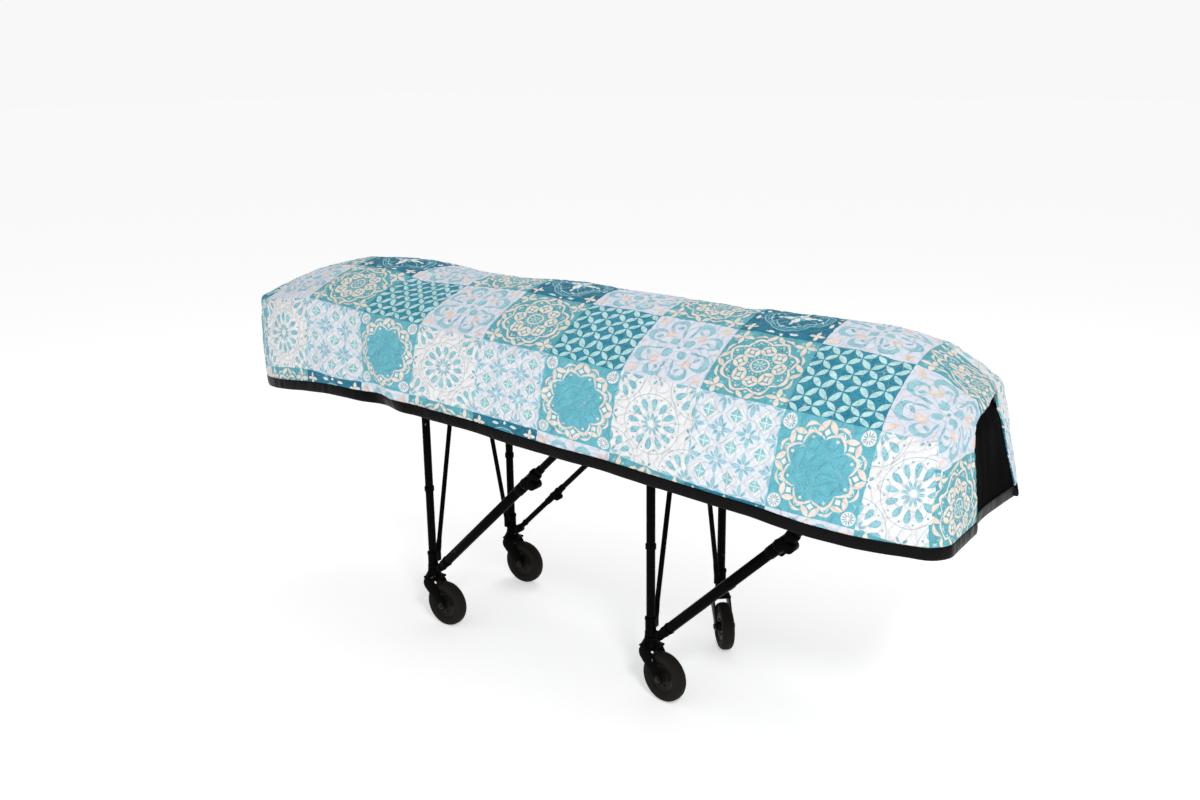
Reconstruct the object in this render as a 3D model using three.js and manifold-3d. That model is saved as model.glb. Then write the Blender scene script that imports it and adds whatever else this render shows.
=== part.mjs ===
// A fitted quilted cover over a folding wheeled cot.
// Millimetres, +Z up, +X towards the end with the gusset, -Y the near side, Z = 0 the floor.
// The cot is plain: it is here because the cover hangs from it.
import * as THREE from "three";
import { mergeVertices } from "three/addons/utils/BufferGeometryUtils.js";
import Module from "manifold-3d";

const wasm = await Module();
wasm.setup();

// Driving dimensions
const GAP = 0.3; // between pieces that touch
const CLOTH = 3; // the quilted cotton
const VINYL = 2; // the gusset, doubled over at its seams
const BINDING_WRAP = 1.6; // the binding stands this far proud of the cloth it holds
const BINDING_TURN = 2; // and this far below its cut edge
const BINDING_SHARE = 0.9; // where its upper edge crosses the wall, from 0 at the shoulder to 1 at the hem
const END_BINDING = 7; // its depth where it holds both the flaps and the gusset

const SPINE_LEFT = -724; // the crest runs from here
const SPINE_RIGHT = 869; // to here
const FLARE = 1.6; // how early the walls lean out on their way down
const ROUND_END = { shoulder: 346.5, hem: 276, power: 2.8 }; // the head end, beyond the crest
// The gusset end. Its far half is skewed in and raised, in full from sideY on.
const SQUARE_END = {
  shoulder: 178, hem: 200, skew: 30, arch: 34, farRise: 20, riseOver: 150, sideY: 240, corner: 26,
};

// The cover's shape at stations along its length. shoulder is where the top turns down into the wall.
const STATIONS = [
  { x: -1041, shoulderY: 276, shoulderZ: 870, hemY: 322, hemZ: 628, crestZ: 982, crestY: 0, crown: 1.7 },
  { x: -925, shoulderY: 276, shoulderZ: 888, hemY: 322, hemZ: 642, crestZ: 982, crestY: 0, crown: 1.7 },
  { x: -724, shoulderY: 276, shoulderZ: 912, hemY: 322, hemZ: 664, crestZ: 984, crestY: 0, crown: 1.7 },
  { x: -614, shoulderY: 276, shoulderZ: 904, hemY: 326, hemZ: 672, crestZ: 986, crestY: 0, crown: 1.8 },
  { x: -449, shoulderY: 276, shoulderZ: 894, hemY: 332, hemZ: 672, crestZ: 967, crestY: 0, crown: 1.9 },
  { x: -304, shoulderY: 276, shoulderZ: 886, hemY: 332, hemZ: 668, crestZ: 968, crestY: 4, crown: 1.9 },
  { x: -69, shoulderY: 276, shoulderZ: 872, hemY: 332, hemZ: 652, crestZ: 975, crestY: 6, crown: 1.9 },
  { x: 208, shoulderY: 276, shoulderZ: 856, hemY: 332, hemZ: 634, crestZ: 966, crestY: 8, crown: 1.9 },
  { x: 485, shoulderY: 276, shoulderZ: 840, hemY: 330, hemZ: 615, crestZ: 965, crestY: 10, crown: 1.9 },
  { x: 671, shoulderY: 276, shoulderZ: 828, hemY: 328, hemZ: 598, crestZ: 963, crestY: 14, crown: 1.8 },
  { x: 791, shoulderY: 275, shoulderZ: 821, hemY: 318, hemZ: 583, crestZ: 963, crestY: 20, crown: 1.5 },
  { x: 900, shoulderY: 270, shoulderZ: 814, hemY: 300, hemZ: 572, crestZ: 952, crestY: 28, crown: 1.2 },
  { x: 1005, shoulderY: 258, shoulderZ: 809, hemY: 268, hemZ: 565, crestZ: 948, crestY: 30, crown: 1.15 },
  { x: 1073, shoulderY: 248, shoulderZ: 808, hemY: 247, hemZ: 564, crestZ: 945, crestY: 30, crown: 1.15 },
];

// The main folds of the walls. Each runs from fromX at the shoulder to toX at the hem; depth is inwards.
const FOLDS = [
  { side: -1, fromX: -654, toX: -414, depth: 17, halfWidth: 62, start: -0.2 },
  { side: -1, fromX: -499, toX: -334, depth: -7, halfWidth: 46, start: 0.2 },
  { side: -1, fromX: -69, toX: -99, depth: 6, halfWidth: 90, start: 0.1 },
  { side: -1, fromX: 361, toX: 291, depth: 6, halfWidth: 80, start: 0.1 },
  { side: -1, fromX: 751, toX: 681, depth: 6, halfWidth: 70, start: 0 },
  { side: 1, fromX: -549, toX: -609, depth: 12, halfWidth: 70, start: 0 },
  { side: 1, fromX: -159, toX: -89, depth: 8, halfWidth: 90, start: 0.1 },
  { side: 1, fromX: 60, toX: 84, depth: -2.6, halfWidth: 60, start: 0.2 },
  { side: 1, fromX: 271, toX: 351, depth: 9, halfWidth: 80, start: 0 },
  { side: 1, fromX: 711, toX: 651, depth: 10, halfWidth: 70, start: 0.1 },
];
// Shallow hollows of the top, where the cloth sags between what it lies on.
const HOLLOWS = [
  { x: -469, y: -120, depth: 9, alongX: 90, alongY: 70 },
  { x: -209, y: 110, depth: 6, alongX: 120, alongY: 80 },
  { x: 51, y: -140, depth: 6, alongX: 110, alongY: 70 },
  { x: 421, y: 60, depth: 6, alongX: 120, alongY: 90 },
  { x: 611, y: -150, depth: 6, alongX: 80, alongY: 60 },
];

// The gusset fills a slot in the square end, between the near flap and the far flap.
const SLOT = { nearTop: -80, nearHem: -68, farTop: 100, farHem: 212 };
const GUSSET = { lap: 10, recess: 14, growth: 0.8, lean: 0.6, behind: 0.6 };

// The cot
const MATTRESS = { bottom: 716, clear: 0.5 };
const DECK = { left: -894, right: 996, halfWidth: 225, top: 715.7, thick: 4 };
const RAIL = { y: 212.5, width: 25, height: 40 };
const CROSS = { z: 690, radius: 12 };
const LEG = { headX: -403, footX: 324, y: 173, radius: 11, bottom: 158.3 };
const SLEEVE = { radius: 15, bottom: 160, top: 208 };
const LUG = { innerY: 145, halfWidth: 6, height: 34 }; // carries the inward brace on its sleeve
const KNUCKLE = { reach: 30, z: 168, radius: 12, width: 22 }; // carries the folding brace
const DIAGONAL = { rise: 522, run: 529 };
const NEAR_BRACE = { lower: 13.5, upper: 9.5, joint: 430, housing: 66, housingRadius: 17 };
const FAR_BRACE = { lower: 8, upper: 8, joint: 180, housing: 40, housingRadius: 12 };
const KNOB = { offset: 0.7, radius: 0.75 }; // of the lock, as shares of its housing's radius
const V_BRACE = { radius: 6.5, lowY: 151, lowZ: 200, highY: 52, root: 12, stub: 14, stubRadius: 8 };
const WHEEL_SIDES = 28;
// Half of each wheel piece's section, from the tread inwards. along is the distance from the wheel's middle.
const TYRE_SECTION = [
  { radius: 63.5, along: 9 },
  { radius: 58.5, along: 15 },
  { radius: 49.5, along: 17 },
  { radius: 38.3, along: 12 },
];
const HUB_SECTION = [
  { radius: 38, along: 11 },
  { radius: 32, along: 10 },
  { radius: 16, along: 10 },
  { radius: 13, along: 19 },
  { radius: 4.3, along: 19 },
];
const AXLE = { radius: 4, headRadius: 8, headThick: 5 };
const FORK = { trail: 47, plate: 3.5, inside: 20, crownBottom: 131 };
const ROOF = { back: 18, front: 26, thick: 6 }; // joins the fork's plates under its crown
const CHEEK = { x: 2, z: 118, radius: 21, eyeRadius: 13 }; // a fork's plate, round this point and the axle
const CROWN_SECTION = [
  { radius: 0, height: 0 },
  { radius: 23, height: 0 },
  { radius: 24, height: 6 },
  { radius: 19, height: 13.5 },
  { radius: 16, height: 19.5 },
  { radius: 15, height: 27 },
  { radius: 0, height: 27 },
];
const CUT_PAST = 20; // a cutter reaches this far past what it cuts
const CASTERS = [
  { name: "head_near", x: LEG.headX, side: -1, turn: 0 },
  { name: "head_far", x: LEG.headX, side: 1, turn: 0 },
  { name: "foot_near", x: LEG.footX, side: -1, turn: -10 },
  { name: "foot_far", x: LEG.footX, side: 1, turn: -47 },
];

const finish = (color, roughness, metalness) =>
  new THREE.MeshStandardMaterial({ color, roughness, metalness });
const COTTON = finish("#9cc7cf", 0.9, 0);
const BLACK_VINYL = finish("#1b1b1d", 0.45, 0);
const TICKING = finish("#d9d6cf", 0.85, 0);
const BLACK_PAINT = finish("#141414", 0.3, 0);
const RUBBER = finish("#2a2522", 0.8, 0);
const STEEL = finish("#8d8f92", 0.35, 1);

const UP = new THREE.Vector3(0, 0, 1);
const ALONG = new THREE.Vector3(1, 0, 0);
const part = new THREE.Group();

// Small helpers
const mix = (a, b, share) => a + (b - a) * share;
const smooth = (low, high, value) => THREE.MathUtils.smoothstep(value, low, high);
const bell = (value) => Math.exp(-value * value);

function station(x, key) {
  const last = STATIONS.length - 1;
  if (x <= STATIONS[0].x) return STATIONS[0][key];
  if (x >= STATIONS[last].x) return STATIONS[last][key];
  const i = STATIONS.findIndex((row) => row.x > x) - 1;
  const share = (x - STATIONS[i].x) / (STATIONS[i + 1].x - STATIONS[i].x);
  return mix(STATIONS[i][key], STATIONS[i + 1][key], share);
}

function toSolid(geometry) {
  const bare = geometry.clone();
  for (const name of ["normal", "uv"]) bare.deleteAttribute(name);
  const merged = mergeVertices(bare, 1e-4);
  return new wasm.Manifold(
    new wasm.Mesh({
      numProp: 3,
      vertProperties: new Float32Array(merged.attributes.position.array),
      triVerts: new Uint32Array(merged.index.array),
    }),
  );
}

function toGeometry(solid) {
  const mesh = solid.getMesh();
  return meshOf(mesh.vertProperties, mesh.triVerts);
}

function meshOf(coordinates, faces) {
  const geometry = new THREE.BufferGeometry();
  geometry.setAttribute("position", new THREE.BufferAttribute(new Float32Array(coordinates), 3));
  geometry.setIndex(new THREE.BufferAttribute(new Uint32Array(faces), 1));
  geometry.computeVertexNormals();
  return geometry;
}
const meshOfPoints = (points, faces) => meshOf(points.flatMap((point) => point.toArray()), faces);

function addMesh(name, geometry, material, parent = part) {
  const mesh = new THREE.Mesh(geometry, material);
  mesh.name = name;
  parent.add(mesh);
}

// A cylinder between two points.
function rod(from, to, radius, sides = 12) {
  const a = new THREE.Vector3(...from);
  const b = new THREE.Vector3(...to);
  const along = b.clone().sub(a);
  const geometry = new THREE.CylinderGeometry(radius, radius, along.length(), sides);
  const turn = new THREE.Quaternion();
  turn.setFromUnitVectors(new THREE.Vector3(0, 1, 0), along.normalize());
  geometry.applyQuaternion(turn);
  geometry.translate(...a.add(b).multiplyScalar(0.5).toArray());
  return geometry;
}

function block(low, high) {
  const size = high.map((value, i) => value - low[i]);
  const middle = high.map((value, i) => (value + low[i]) / 2);
  return new THREE.BoxGeometry(...size).translate(...middle);
}

const joined = (...geometries) => geometries.map(toSolid).reduce((all, next) => all.add(next));

// The cover's surface
// A column runs from the hem up the wall and over the top to the crest. Side columns stand by their share
// of the length, round-end columns by their angle, square-end columns by their share of a flap or of the slot.
const SIDE_STEPS = 24;
const ROUND_STEPS = 14;
const SLOT_STEPS = 5;

function coverColumns() {
  const columns = [];
  for (let i = 0; i <= SIDE_STEPS; i++) columns.push({ kind: "side", side: -1, share: 1 - i / SIDE_STEPS });
  for (let i = 1; i < ROUND_STEPS; i++) columns.push({ kind: "round", angle: (Math.PI * i) / ROUND_STEPS });
  for (let i = 0; i <= SIDE_STEPS; i++) columns.push({ kind: "side", side: 1, share: i / SIDE_STEPS });
  columns.push({ kind: "corner", side: 1 });
  for (const flap of [1, 0.5]) columns.push({ kind: "farFlap", flap });
  for (let i = 0; i <= SLOT_STEPS; i++) columns.push({ kind: "slot", share: i / SLOT_STEPS });
  for (const flap of [0.5, 1]) columns.push({ kind: "nearFlap", flap });
  columns.push({ kind: "corner", side: -1 });
  return columns;
}
const COLUMNS = coverColumns();

// Which point of the crest a column ends in, counted from the gusset end.
function crestIndex({ kind, share }) {
  if (kind === "side") return Math.round((1 - share) * SIDE_STEPS);
  return kind === "round" ? SIDE_STEPS : 0;
}

// Where a column stands in plan.
// reach is 1 at the shoulder and 0 at the crest; drop is 0 at the shoulder and 1 at the hem.
function planPoint(column, reach, drop, slotGrow = 0) {
  const flare = 1 - (1 - drop) ** FLARE;
  const halfWidth = (x) => reach * mix(station(x, "shoulderY"), station(x, "hemY"), flare);
  if (column.kind === "round") {
    const length = reach * mix(ROUND_END.shoulder, ROUND_END.hem, drop);
    const cosine = Math.cos(column.angle);
    const across = Math.sign(cosine) * Math.abs(cosine) ** (2 / ROUND_END.power);
    const outwards = Math.sin(column.angle) ** (2 / ROUND_END.power);
    return [SPINE_LEFT - length * outwards, -halfWidth(SPINE_LEFT) * across];
  }
  const endX = (y) => {
    const shoulder = SQUARE_END.shoulder - SQUARE_END.skew * smooth(0, SQUARE_END.sideY, y);
    return SPINE_RIGHT + reach * mix(shoulder, SQUARE_END.hem, drop);
  };
  const corner = SQUARE_END.corner * reach;
  const side = column.side ?? Math.sign(column.flap ?? 0);
  if (column.kind === "side") {
    const x = mix(SPINE_LEFT, endX(column.side * SQUARE_END.sideY) - corner, column.share);
    return [x, column.side * halfWidth(x)];
  }
  const cornerX = endX(side * SQUARE_END.sideY);
  if (column.kind === "corner") {
    const inset = corner * (1 - Math.SQRT1_2);
    return [cornerX - inset, side * (halfWidth(cornerX) - inset)];
  }
  const cornerY = halfWidth(endX(0)) - corner;
  const nearEdge = reach * mix(SLOT.nearTop, SLOT.nearHem, drop) + slotGrow;
  const farEdge = reach * mix(SLOT.farTop, SLOT.farHem, drop) - slotGrow;
  let y = mix(farEdge, nearEdge, column.share ?? 0);
  if (column.kind === "farFlap") y = mix(farEdge, cornerY, column.flap);
  if (column.kind === "nearFlap") y = mix(nearEdge, -cornerY, column.flap);
  if (column.atY !== undefined) y = column.atY;
  return [endX(y), y];
}

const FOLD_STARTS_OVER = 0.5; // a fold is fully there this share of the wall below its start
function foldDepth(x, side, drop) {
  let depth = 0;
  for (const fold of FOLDS) {
    if (fold.side !== side) continue;
    const middle = mix(fold.fromX, fold.toX, drop);
    const along = bell((x - middle) / fold.halfWidth);
    depth += fold.depth * along * smooth(fold.start, fold.start + FOLD_STARTS_OVER, drop);
  }
  return depth;
}

function hollowDepth(x, y) {
  let depth = 0;
  for (const hollow of HOLLOWS) {
    const alongX = bell((x - hollow.x) / hollow.alongX);
    depth += hollow.depth * alongX * bell((y - hollow.y) / hollow.alongY);
  }
  return depth;
}

// A point of the cover. level is 0 at the hem, 1 at the shoulder and 2 at the crest.
function coverPoint(column, level, slotGrow = 0) {
  const reach = Math.min(1, 2 - level);
  const drop = Math.max(0, 1 - level);
  let [x, y] = planPoint(column, reach, drop, slotGrow);
  const [edgeX, edgeY] = planPoint(column, 1, drop, slotGrow);
  const [crestX] = planPoint(column, 0, 0);
  const isSquareEnd = !["side", "round"].includes(column.kind);
  let shoulderZ = station(edgeX, "shoulderZ");
  const nearEnd = smooth(SPINE_RIGHT - SQUARE_END.riseOver, SPINE_RIGHT + SQUARE_END.riseOver, edgeX);
  shoulderZ += SQUARE_END.farRise * smooth(0, SQUARE_END.sideY, edgeY) * nearEnd;
  if (isSquareEnd) shoulderZ += SQUARE_END.arch * (1 - (edgeY / station(edgeX, "shoulderY")) ** 2);
  let z;
  if (level <= 1) {
    z = mix(shoulderZ, station(edgeX, "hemZ"), drop);
  } else {
    z = mix(station(crestX, "crestZ"), shoulderZ, reach ** station(crestX, "crown"));
    z -= hollowDepth(x, y);
    y += station(crestX, "crestY") * (1 - reach);
  }
  if (column.kind === "side") y -= column.side * foldDepth(x, column.side, drop) * reach;
  return new THREE.Vector3(x, y, z);
}

const NORMAL_STEP = 0.06;
const CREST_STARTS = 1.9; // above this level the columns are too close together to give a normal
function coverNormal(index, level) {
  const count = COLUMNS.length;
  const low = Math.max(0, level - NORMAL_STEP);
  const high = Math.min(2, level + NORMAL_STEP);
  const besideLevel = Math.min(level, CREST_STARTS);
  const before = coverPoint(COLUMNS[(index + count - 1) % count], besideLevel);
  const after = coverPoint(COLUMNS[(index + 1) % count], besideLevel);
  const up = coverPoint(COLUMNS[index], high).sub(coverPoint(COLUMNS[index], low));
  return up.cross(after.sub(before)).normalize();
}

// Adds a triangle unless two of its corners are one point.
function addFace(faces, a, b, c) {
  if (a !== b && b !== c && a !== c) faces.push(a, b, c);
}

// A closed shell between an outer and an inner layer of one grid, with an edge wherever its quads end.
function shell(outer, inner, quads) {
  const shift = outer.length;
  const faces = [];
  const edges = new Map();
  for (const [a, b, c, d] of quads) {
    addFace(faces, a, b, c);
    addFace(faces, a, c, d);
    addFace(faces, a + shift, c + shift, b + shift);
    addFace(faces, a + shift, d + shift, c + shift);
    for (const [from, to] of [[a, b], [b, c], [c, d], [d, a]]) {
      if (from !== to) edges.set(`${from},${to}`, [from, to]);
    }
  }
  for (const [from, to] of edges.values()) {
    if (edges.has(`${to},${from}`)) continue;
    addFace(faces, to, from, from + shift);
    addFace(faces, to, from + shift, to + shift);
  }
  return meshOfPoints([...outer, ...inner], faces);
}

const BINDING_LEVEL = 1 - BINDING_SHARE;
const WALL_LEVELS = [0, BINDING_LEVEL, 0.32, 0.54, 0.76, 0.9];
const TOP_REACHES = [1, 0.92, 0.8, 0.64, 0.46, 0.24];
const LEVELS = [...WALL_LEVELS, ...TOP_REACHES.map((reach) => 2 - reach)];

// Both layers of the cover as grids, and the quads that are cloth.
function coverShell(outerOffset, innerOffset, slotGrow, hemGrow) {
  const count = COLUMNS.length;
  const outer = [];
  const inner = [];
  const put = (at, normal) => {
    outer.push(at.clone().addScaledVector(normal, outerOffset));
    inner.push(at.clone().addScaledVector(normal, innerOffset));
  };
  for (const level of LEVELS) {
    COLUMNS.forEach((column, i) => {
      const at = coverPoint(column, level, slotGrow);
      if (level === 0) at.z -= hemGrow;
      put(at, coverNormal(i, level));
    });
  }
  const crest = outer.length;
  for (let i = 0; i <= SIDE_STEPS; i++) put(coverPoint(COLUMNS[i], 2), UP);
  const quads = [];
  for (let k = 0; k < LEVELS.length; k++) {
    for (let i = 0; i < count; i++) {
      const next = (i + 1) % count;
      const inSlot = COLUMNS[i].kind === "slot" && COLUMNS[next].kind === "slot";
      if (inSlot && k < WALL_LEVELS.length) continue;
      const above = [(k + 1) * count + i, (k + 1) * count + next];
      if (k === LEVELS.length - 1) {
        above[0] = crest + crestIndex(COLUMNS[i]);
        above[1] = crest + crestIndex(COLUMNS[next]);
      }
      quads.push([above[0], above[1], k * count + next, k * count + i]);
    }
  }
  return shell(outer, inner, quads);
}

addMesh("quilted_cover", coverShell(0, -CLOTH, 0, 0), COTTON);

// The gusset is a wedge of vinyl behind the slot. It laps behind both flaps and folds inwards between them.
const GUSSET_PLACES = [-1, 0, 0.16, 0.34, 0.52, 0.7, 0.86, 1, 2]; // -1 and 2 are the ends of the laps
const GUSSET_LEVELS = [0, BINDING_LEVEL, 0.3, 0.5, 0.7, 0.86, 0.98];

// place is 0 at the near flap's edge and 1 at the far flap's. Inside the binding the gusset doesn't lap.
function gussetPoint(place, level, offset, sideGrow = 0) {
  const drop = 1 - level;
  const lap = sideGrow + (level < BINDING_LEVEL ? 0 : GUSSET.lap);
  const share = THREE.MathUtils.clamp(place, 0, 1);
  let y = mix(mix(SLOT.nearTop, SLOT.nearHem, drop), mix(SLOT.farTop, SLOT.farHem, drop), share);
  if (place < 0) y -= lap;
  if (place > 1) y += lap;
  const at = coverPoint({ kind: "slot", atY: y }, level);
  at.x += offset - GUSSET.recess * drop ** GUSSET.growth * Math.sin(Math.PI * share ** GUSSET.lean);
  return at;
}

function gussetShell(outerOffset, innerOffset, grow) {
  const outer = [];
  const inner = [];
  const quads = [];
  const wide = GUSSET_PLACES.length;
  GUSSET_LEVELS.forEach((level, k) => {
    GUSSET_PLACES.forEach((place, i) => {
      const front = gussetPoint(place, level, outerOffset, grow);
      const back = gussetPoint(place, level, innerOffset, grow);
      if (k === 0) front.z -= grow;
      if (k === 0) back.z -= grow;
      outer.push(front);
      inner.push(back);
      const corner = (k - 1) * wide + i - 1;
      if (k && i) quads.push([corner, corner + 1, corner + wide + 1, corner + wide]);
    });
  });
  return shell(outer, inner, quads);
}
const gussetFront = -CLOTH - GUSSET.behind;
addMesh("end_gusset", gussetShell(gussetFront, gussetFront - VINYL, 0), BLACK_VINYL);

// The binding is one band of vinyl folded over the hem. The cloth and gusset that it holds are cut out of it.
function bindingPath() {
  const path = [];
  const betweenFlaps = GUSSET_PLACES.filter((place) => place > 0 && place < 1).reverse();
  COLUMNS.forEach((column, i) => {
    if (column.kind === "slot" && column.share > 0 && column.share < 1) return;
    const depth = ["side", "round"].includes(column.kind) ? CLOTH + BINDING_WRAP : END_BINDING;
    path.push({ at: (level) => coverPoint(column, level), normal: (level) => coverNormal(i, level), depth });
    if (column.kind !== "slot" || column.share > 0) return;
    for (const place of betweenFlaps) {
      const at = (level) => gussetPoint(place, level, gussetFront);
      path.push({ at, normal: () => ALONG, depth: VINYL + BINDING_WRAP });
    }
  });
  return path;
}

function bindingBand() {
  const path = bindingPath();
  const faces = [];
  const points = [];
  for (const { at, normal, depth } of path) {
    const corners = [[BINDING_LEVEL, BINDING_WRAP], [0, BINDING_WRAP], [0, -depth], [BINDING_LEVEL, -depth]];
    for (const [level, offset] of corners) {
      const point = at(level).addScaledVector(normal(level), offset);
      if (level === 0) point.z -= BINDING_TURN;
      points.push(point);
    }
  }
  for (let i = 0; i < path.length; i++) {
    const next = (i + 1) % path.length;
    for (let k = 0; k < 4; k++) {
      const [a, b] = [i * 4 + k, i * 4 + ((k + 1) % 4)];
      const [c, d] = [next * 4 + ((k + 1) % 4), next * 4 + k];
      faces.push(a, c, b, a, d, c);
    }
  }
  return meshOfPoints(points, faces);
}
const roomForCloth = toSolid(coverShell(GAP, -CLOTH - GAP, GAP, GAP));
const roomForGusset = toSolid(gussetShell(gussetFront + GAP, gussetFront - VINYL - GAP, GAP));
const binding = toSolid(bindingBand()).subtract(roomForCloth).subtract(roomForGusset);
addMesh("hem_binding", toGeometry(binding), BLACK_VINYL);

// The mattress fills the cover's crown as far as the last of these reaches, and its foot is flat on the deck.
const MATTRESS_REACHES = [0.24, 0.46, 0.64, 0.8];

function mattressGeometry() {
  const points = [];
  const faces = [];
  const count = COLUMNS.length;
  const under = -CLOTH - MATTRESS.clear;
  for (const reach of MATTRESS_REACHES) {
    COLUMNS.forEach((column, i) => {
      points.push(coverPoint(column, 2 - reach).addScaledVector(coverNormal(i, 2 - reach), under));
    });
  }
  const rim = points.length - count;
  for (let i = 0; i < count; i++) points.push(points[rim + i].clone().setZ(MATTRESS.bottom));
  const crest = points.length;
  for (let i = 0; i <= SIDE_STEPS; i++) points.push(coverPoint(COLUMNS[i], 2).addScaledVector(UP, under));
  const middle = points.length;
  for (let i = 0; i <= SIDE_STEPS; i++) points.push(points[crest + i].clone().setZ(MATTRESS.bottom));
  for (let i = 0; i < count; i++) {
    const next = (i + 1) % count;
    const [spine, nextSpine] = [crestIndex(COLUMNS[i]), crestIndex(COLUMNS[next])];
    addFace(faces, crest + spine, next, i);
    addFace(faces, crest + spine, crest + nextSpine, next);
    for (let k = 0; k < MATTRESS_REACHES.length; k++) {
      const [a, b] = [k * count + i, k * count + next];
      addFace(faces, a, b, b + count);
      addFace(faces, a, b + count, a + count);
    }
    const [a, b] = [rim + count + i, rim + count + next];
    addFace(faces, a, b, middle + spine);
    addFace(faces, b, middle + nextSpine, middle + spine);
  }
  return meshOfPoints(points, faces);
}
addMesh("mattress", mattressGeometry(), TICKING);

// The cot's bed frame: two side rails, a rail at each end, the deck on them and the cross tubes between them.
const deckBottom = DECK.top - DECK.thick;
const railTop = deckBottom - GAP;
const railBottom = railTop - RAIL.height;
const railInside = RAIL.y - RAIL.width / 2;
const endRailY = railInside - GAP;
const deck = block([DECK.left, -DECK.halfWidth, deckBottom], [DECK.right, DECK.halfWidth, DECK.top]);
addMesh("deck", deck, BLACK_PAINT);
for (const [name, lowY] of [["near", -railInside - RAIL.width], ["far", railInside]]) {
  const rail = block([DECK.left, lowY, railBottom], [DECK.right, lowY + RAIL.width, railTop]);
  addMesh("side_rail_" + name, rail, BLACK_PAINT);
}
for (const [name, lowX] of [["head", DECK.left], ["foot", DECK.right - RAIL.width]]) {
  const rail = block([lowX, -endRailY, railBottom], [lowX + RAIL.width, endRailY, railTop]);
  addMesh("end_rail_" + name, rail, BLACK_PAINT);
}
const braceTop = (x) => x + KNUCKLE.reach + ((CROSS.z - KNUCKLE.z) * DIAGONAL.run) / DIAGONAL.rise;
for (const [name, legX] of [["head", LEG.headX], ["foot", LEG.footX]]) {
  for (const [kind, x] of [["leg", legX], ["brace", braceTop(legX)]]) {
    const tube = rod([x, -endRailY, CROSS.z], [x, endRailY, CROSS.z], CROSS.radius);
    addMesh(`${name}_${kind}_cross_tube`, tube, BLACK_PAINT);
  }
}

// The sleeve at a leg's foot, with the knuckle of its folding brace and the lug and stub of its inward brace.
function sleeveGeometry(x, side, inwardFrom, inward) {
  const y = side * LEG.y;
  const barrel = rod([x, y, SLEEVE.bottom], [x, y, SLEEVE.top], SLEEVE.radius, 16);
  const knuckleX = x + KNUCKLE.reach;
  const knuckleFrom = [knuckleX, y - KNUCKLE.width / 2, KNUCKLE.z];
  const knuckle = rod(knuckleFrom, [knuckleX, y + KNUCKLE.width / 2, KNUCKLE.z], KNUCKLE.radius, 16);
  const arm = block(
    [x, y - KNUCKLE.width / 4, KNUCKLE.z - KNUCKLE.radius / 2],
    [knuckleX, y + KNUCKLE.width / 4, KNUCKLE.z + KNUCKLE.radius / 2],
  );
  const lugY = [side * LUG.innerY, side * (LEG.y - LEG.radius)];
  const lug = block(
    [x - LUG.halfWidth, Math.min(...lugY), SLEEVE.top - LUG.height],
    [x + LUG.halfWidth, Math.max(...lugY), SLEEVE.top],
  );
  const stubFrom = inwardFrom.clone().addScaledVector(inward, -V_BRACE.root);
  const stubTo = inwardFrom.clone().addScaledVector(inward, V_BRACE.stub);
  const stub = rod(stubFrom.toArray(), stubTo.toArray(), V_BRACE.stubRadius);
  const bore = rod([x, y, SLEEVE.bottom - CUT_PAST], [x, y, SLEEVE.top + CUT_PAST], LEG.radius + GAP, 16);
  return toGeometry(joined(barrel, arm, knuckle, lug, stub).subtract(toSolid(bore)));
}

// The folding brace: a lower and an upper rod with the lock between them.
function addBrace(name, x, side) {
  const size = side < 0 ? NEAR_BRACE : FAR_BRACE;
  const pivot = new THREE.Vector3(x + KNUCKLE.reach, side * LEG.y, KNUCKLE.z);
  const along = new THREE.Vector3(DIAGONAL.run, 0, DIAGONAL.rise).normalize();
  const length = (CROSS.z - KNUCKLE.z) / along.z;
  const spot = (distance) => pivot.clone().addScaledVector(along, distance).toArray();
  const housingEnd = size.joint + size.housing;
  const lower = rod(spot(KNUCKLE.radius + GAP), spot(size.joint - GAP), size.lower);
  const upper = rod(spot(housingEnd + GAP), spot(length - CROSS.radius - GAP), size.upper);
  const housing = rod(spot(size.joint), spot(housingEnd), size.housingRadius);
  const [middleX, y, middleZ] = spot(size.joint + size.housing / 2);
  const knobX = middleX + size.housingRadius * KNOB.offset;
  const knobZ = middleZ - size.housingRadius * KNOB.offset;
  const knobFrom = [knobX, y - size.housingRadius, knobZ];
  const knob = rod(knobFrom, [knobX, y + size.housingRadius, knobZ], size.housingRadius * KNOB.radius);
  addMesh("brace_lower_" + name, lower, BLACK_PAINT);
  addMesh("brace_upper_" + name, upper, BLACK_PAINT);
  addMesh("brace_lock_" + name, toGeometry(joined(housing, knob)), BLACK_PAINT);
}

// One leg with its inward brace, its sleeve and its folding brace.
function addLeg({ name, x, side }) {
  const y = side * LEG.y;
  const legTop = CROSS.z - CROSS.radius - GAP;
  addMesh("leg_" + name, rod([x, y, LEG.bottom], [x, y, legTop], LEG.radius, 16), BLACK_PAINT);
  const low = new THREE.Vector3(x, side * V_BRACE.lowY, V_BRACE.lowZ);
  const high = new THREE.Vector3(x, side * V_BRACE.highY, CROSS.z);
  const inward = high.clone().sub(low).normalize();
  const belowTube = (CROSS.radius + GAP + V_BRACE.radius * Math.abs(inward.y)) / inward.z;
  const from = low.clone().addScaledVector(inward, V_BRACE.stub + GAP);
  const to = high.clone().addScaledVector(inward, -belowTube);
  addMesh("v_brace_" + name, rod(from.toArray(), to.toArray(), V_BRACE.radius), BLACK_PAINT);
  addMesh("sleeve_" + name, sleeveGeometry(x, side, low, inward), BLACK_PAINT);
  addBrace(name, x, side);
}
CASTERS.forEach(addLeg);

// One caster in its own frame: the swivel's axis at X = Y = 0, the wheel trailing towards +X.
const halfFacet = Math.PI / WHEEL_SIDES;
const axleZ = TYRE_SECTION[0].radius * Math.cos(halfFacet);

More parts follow.
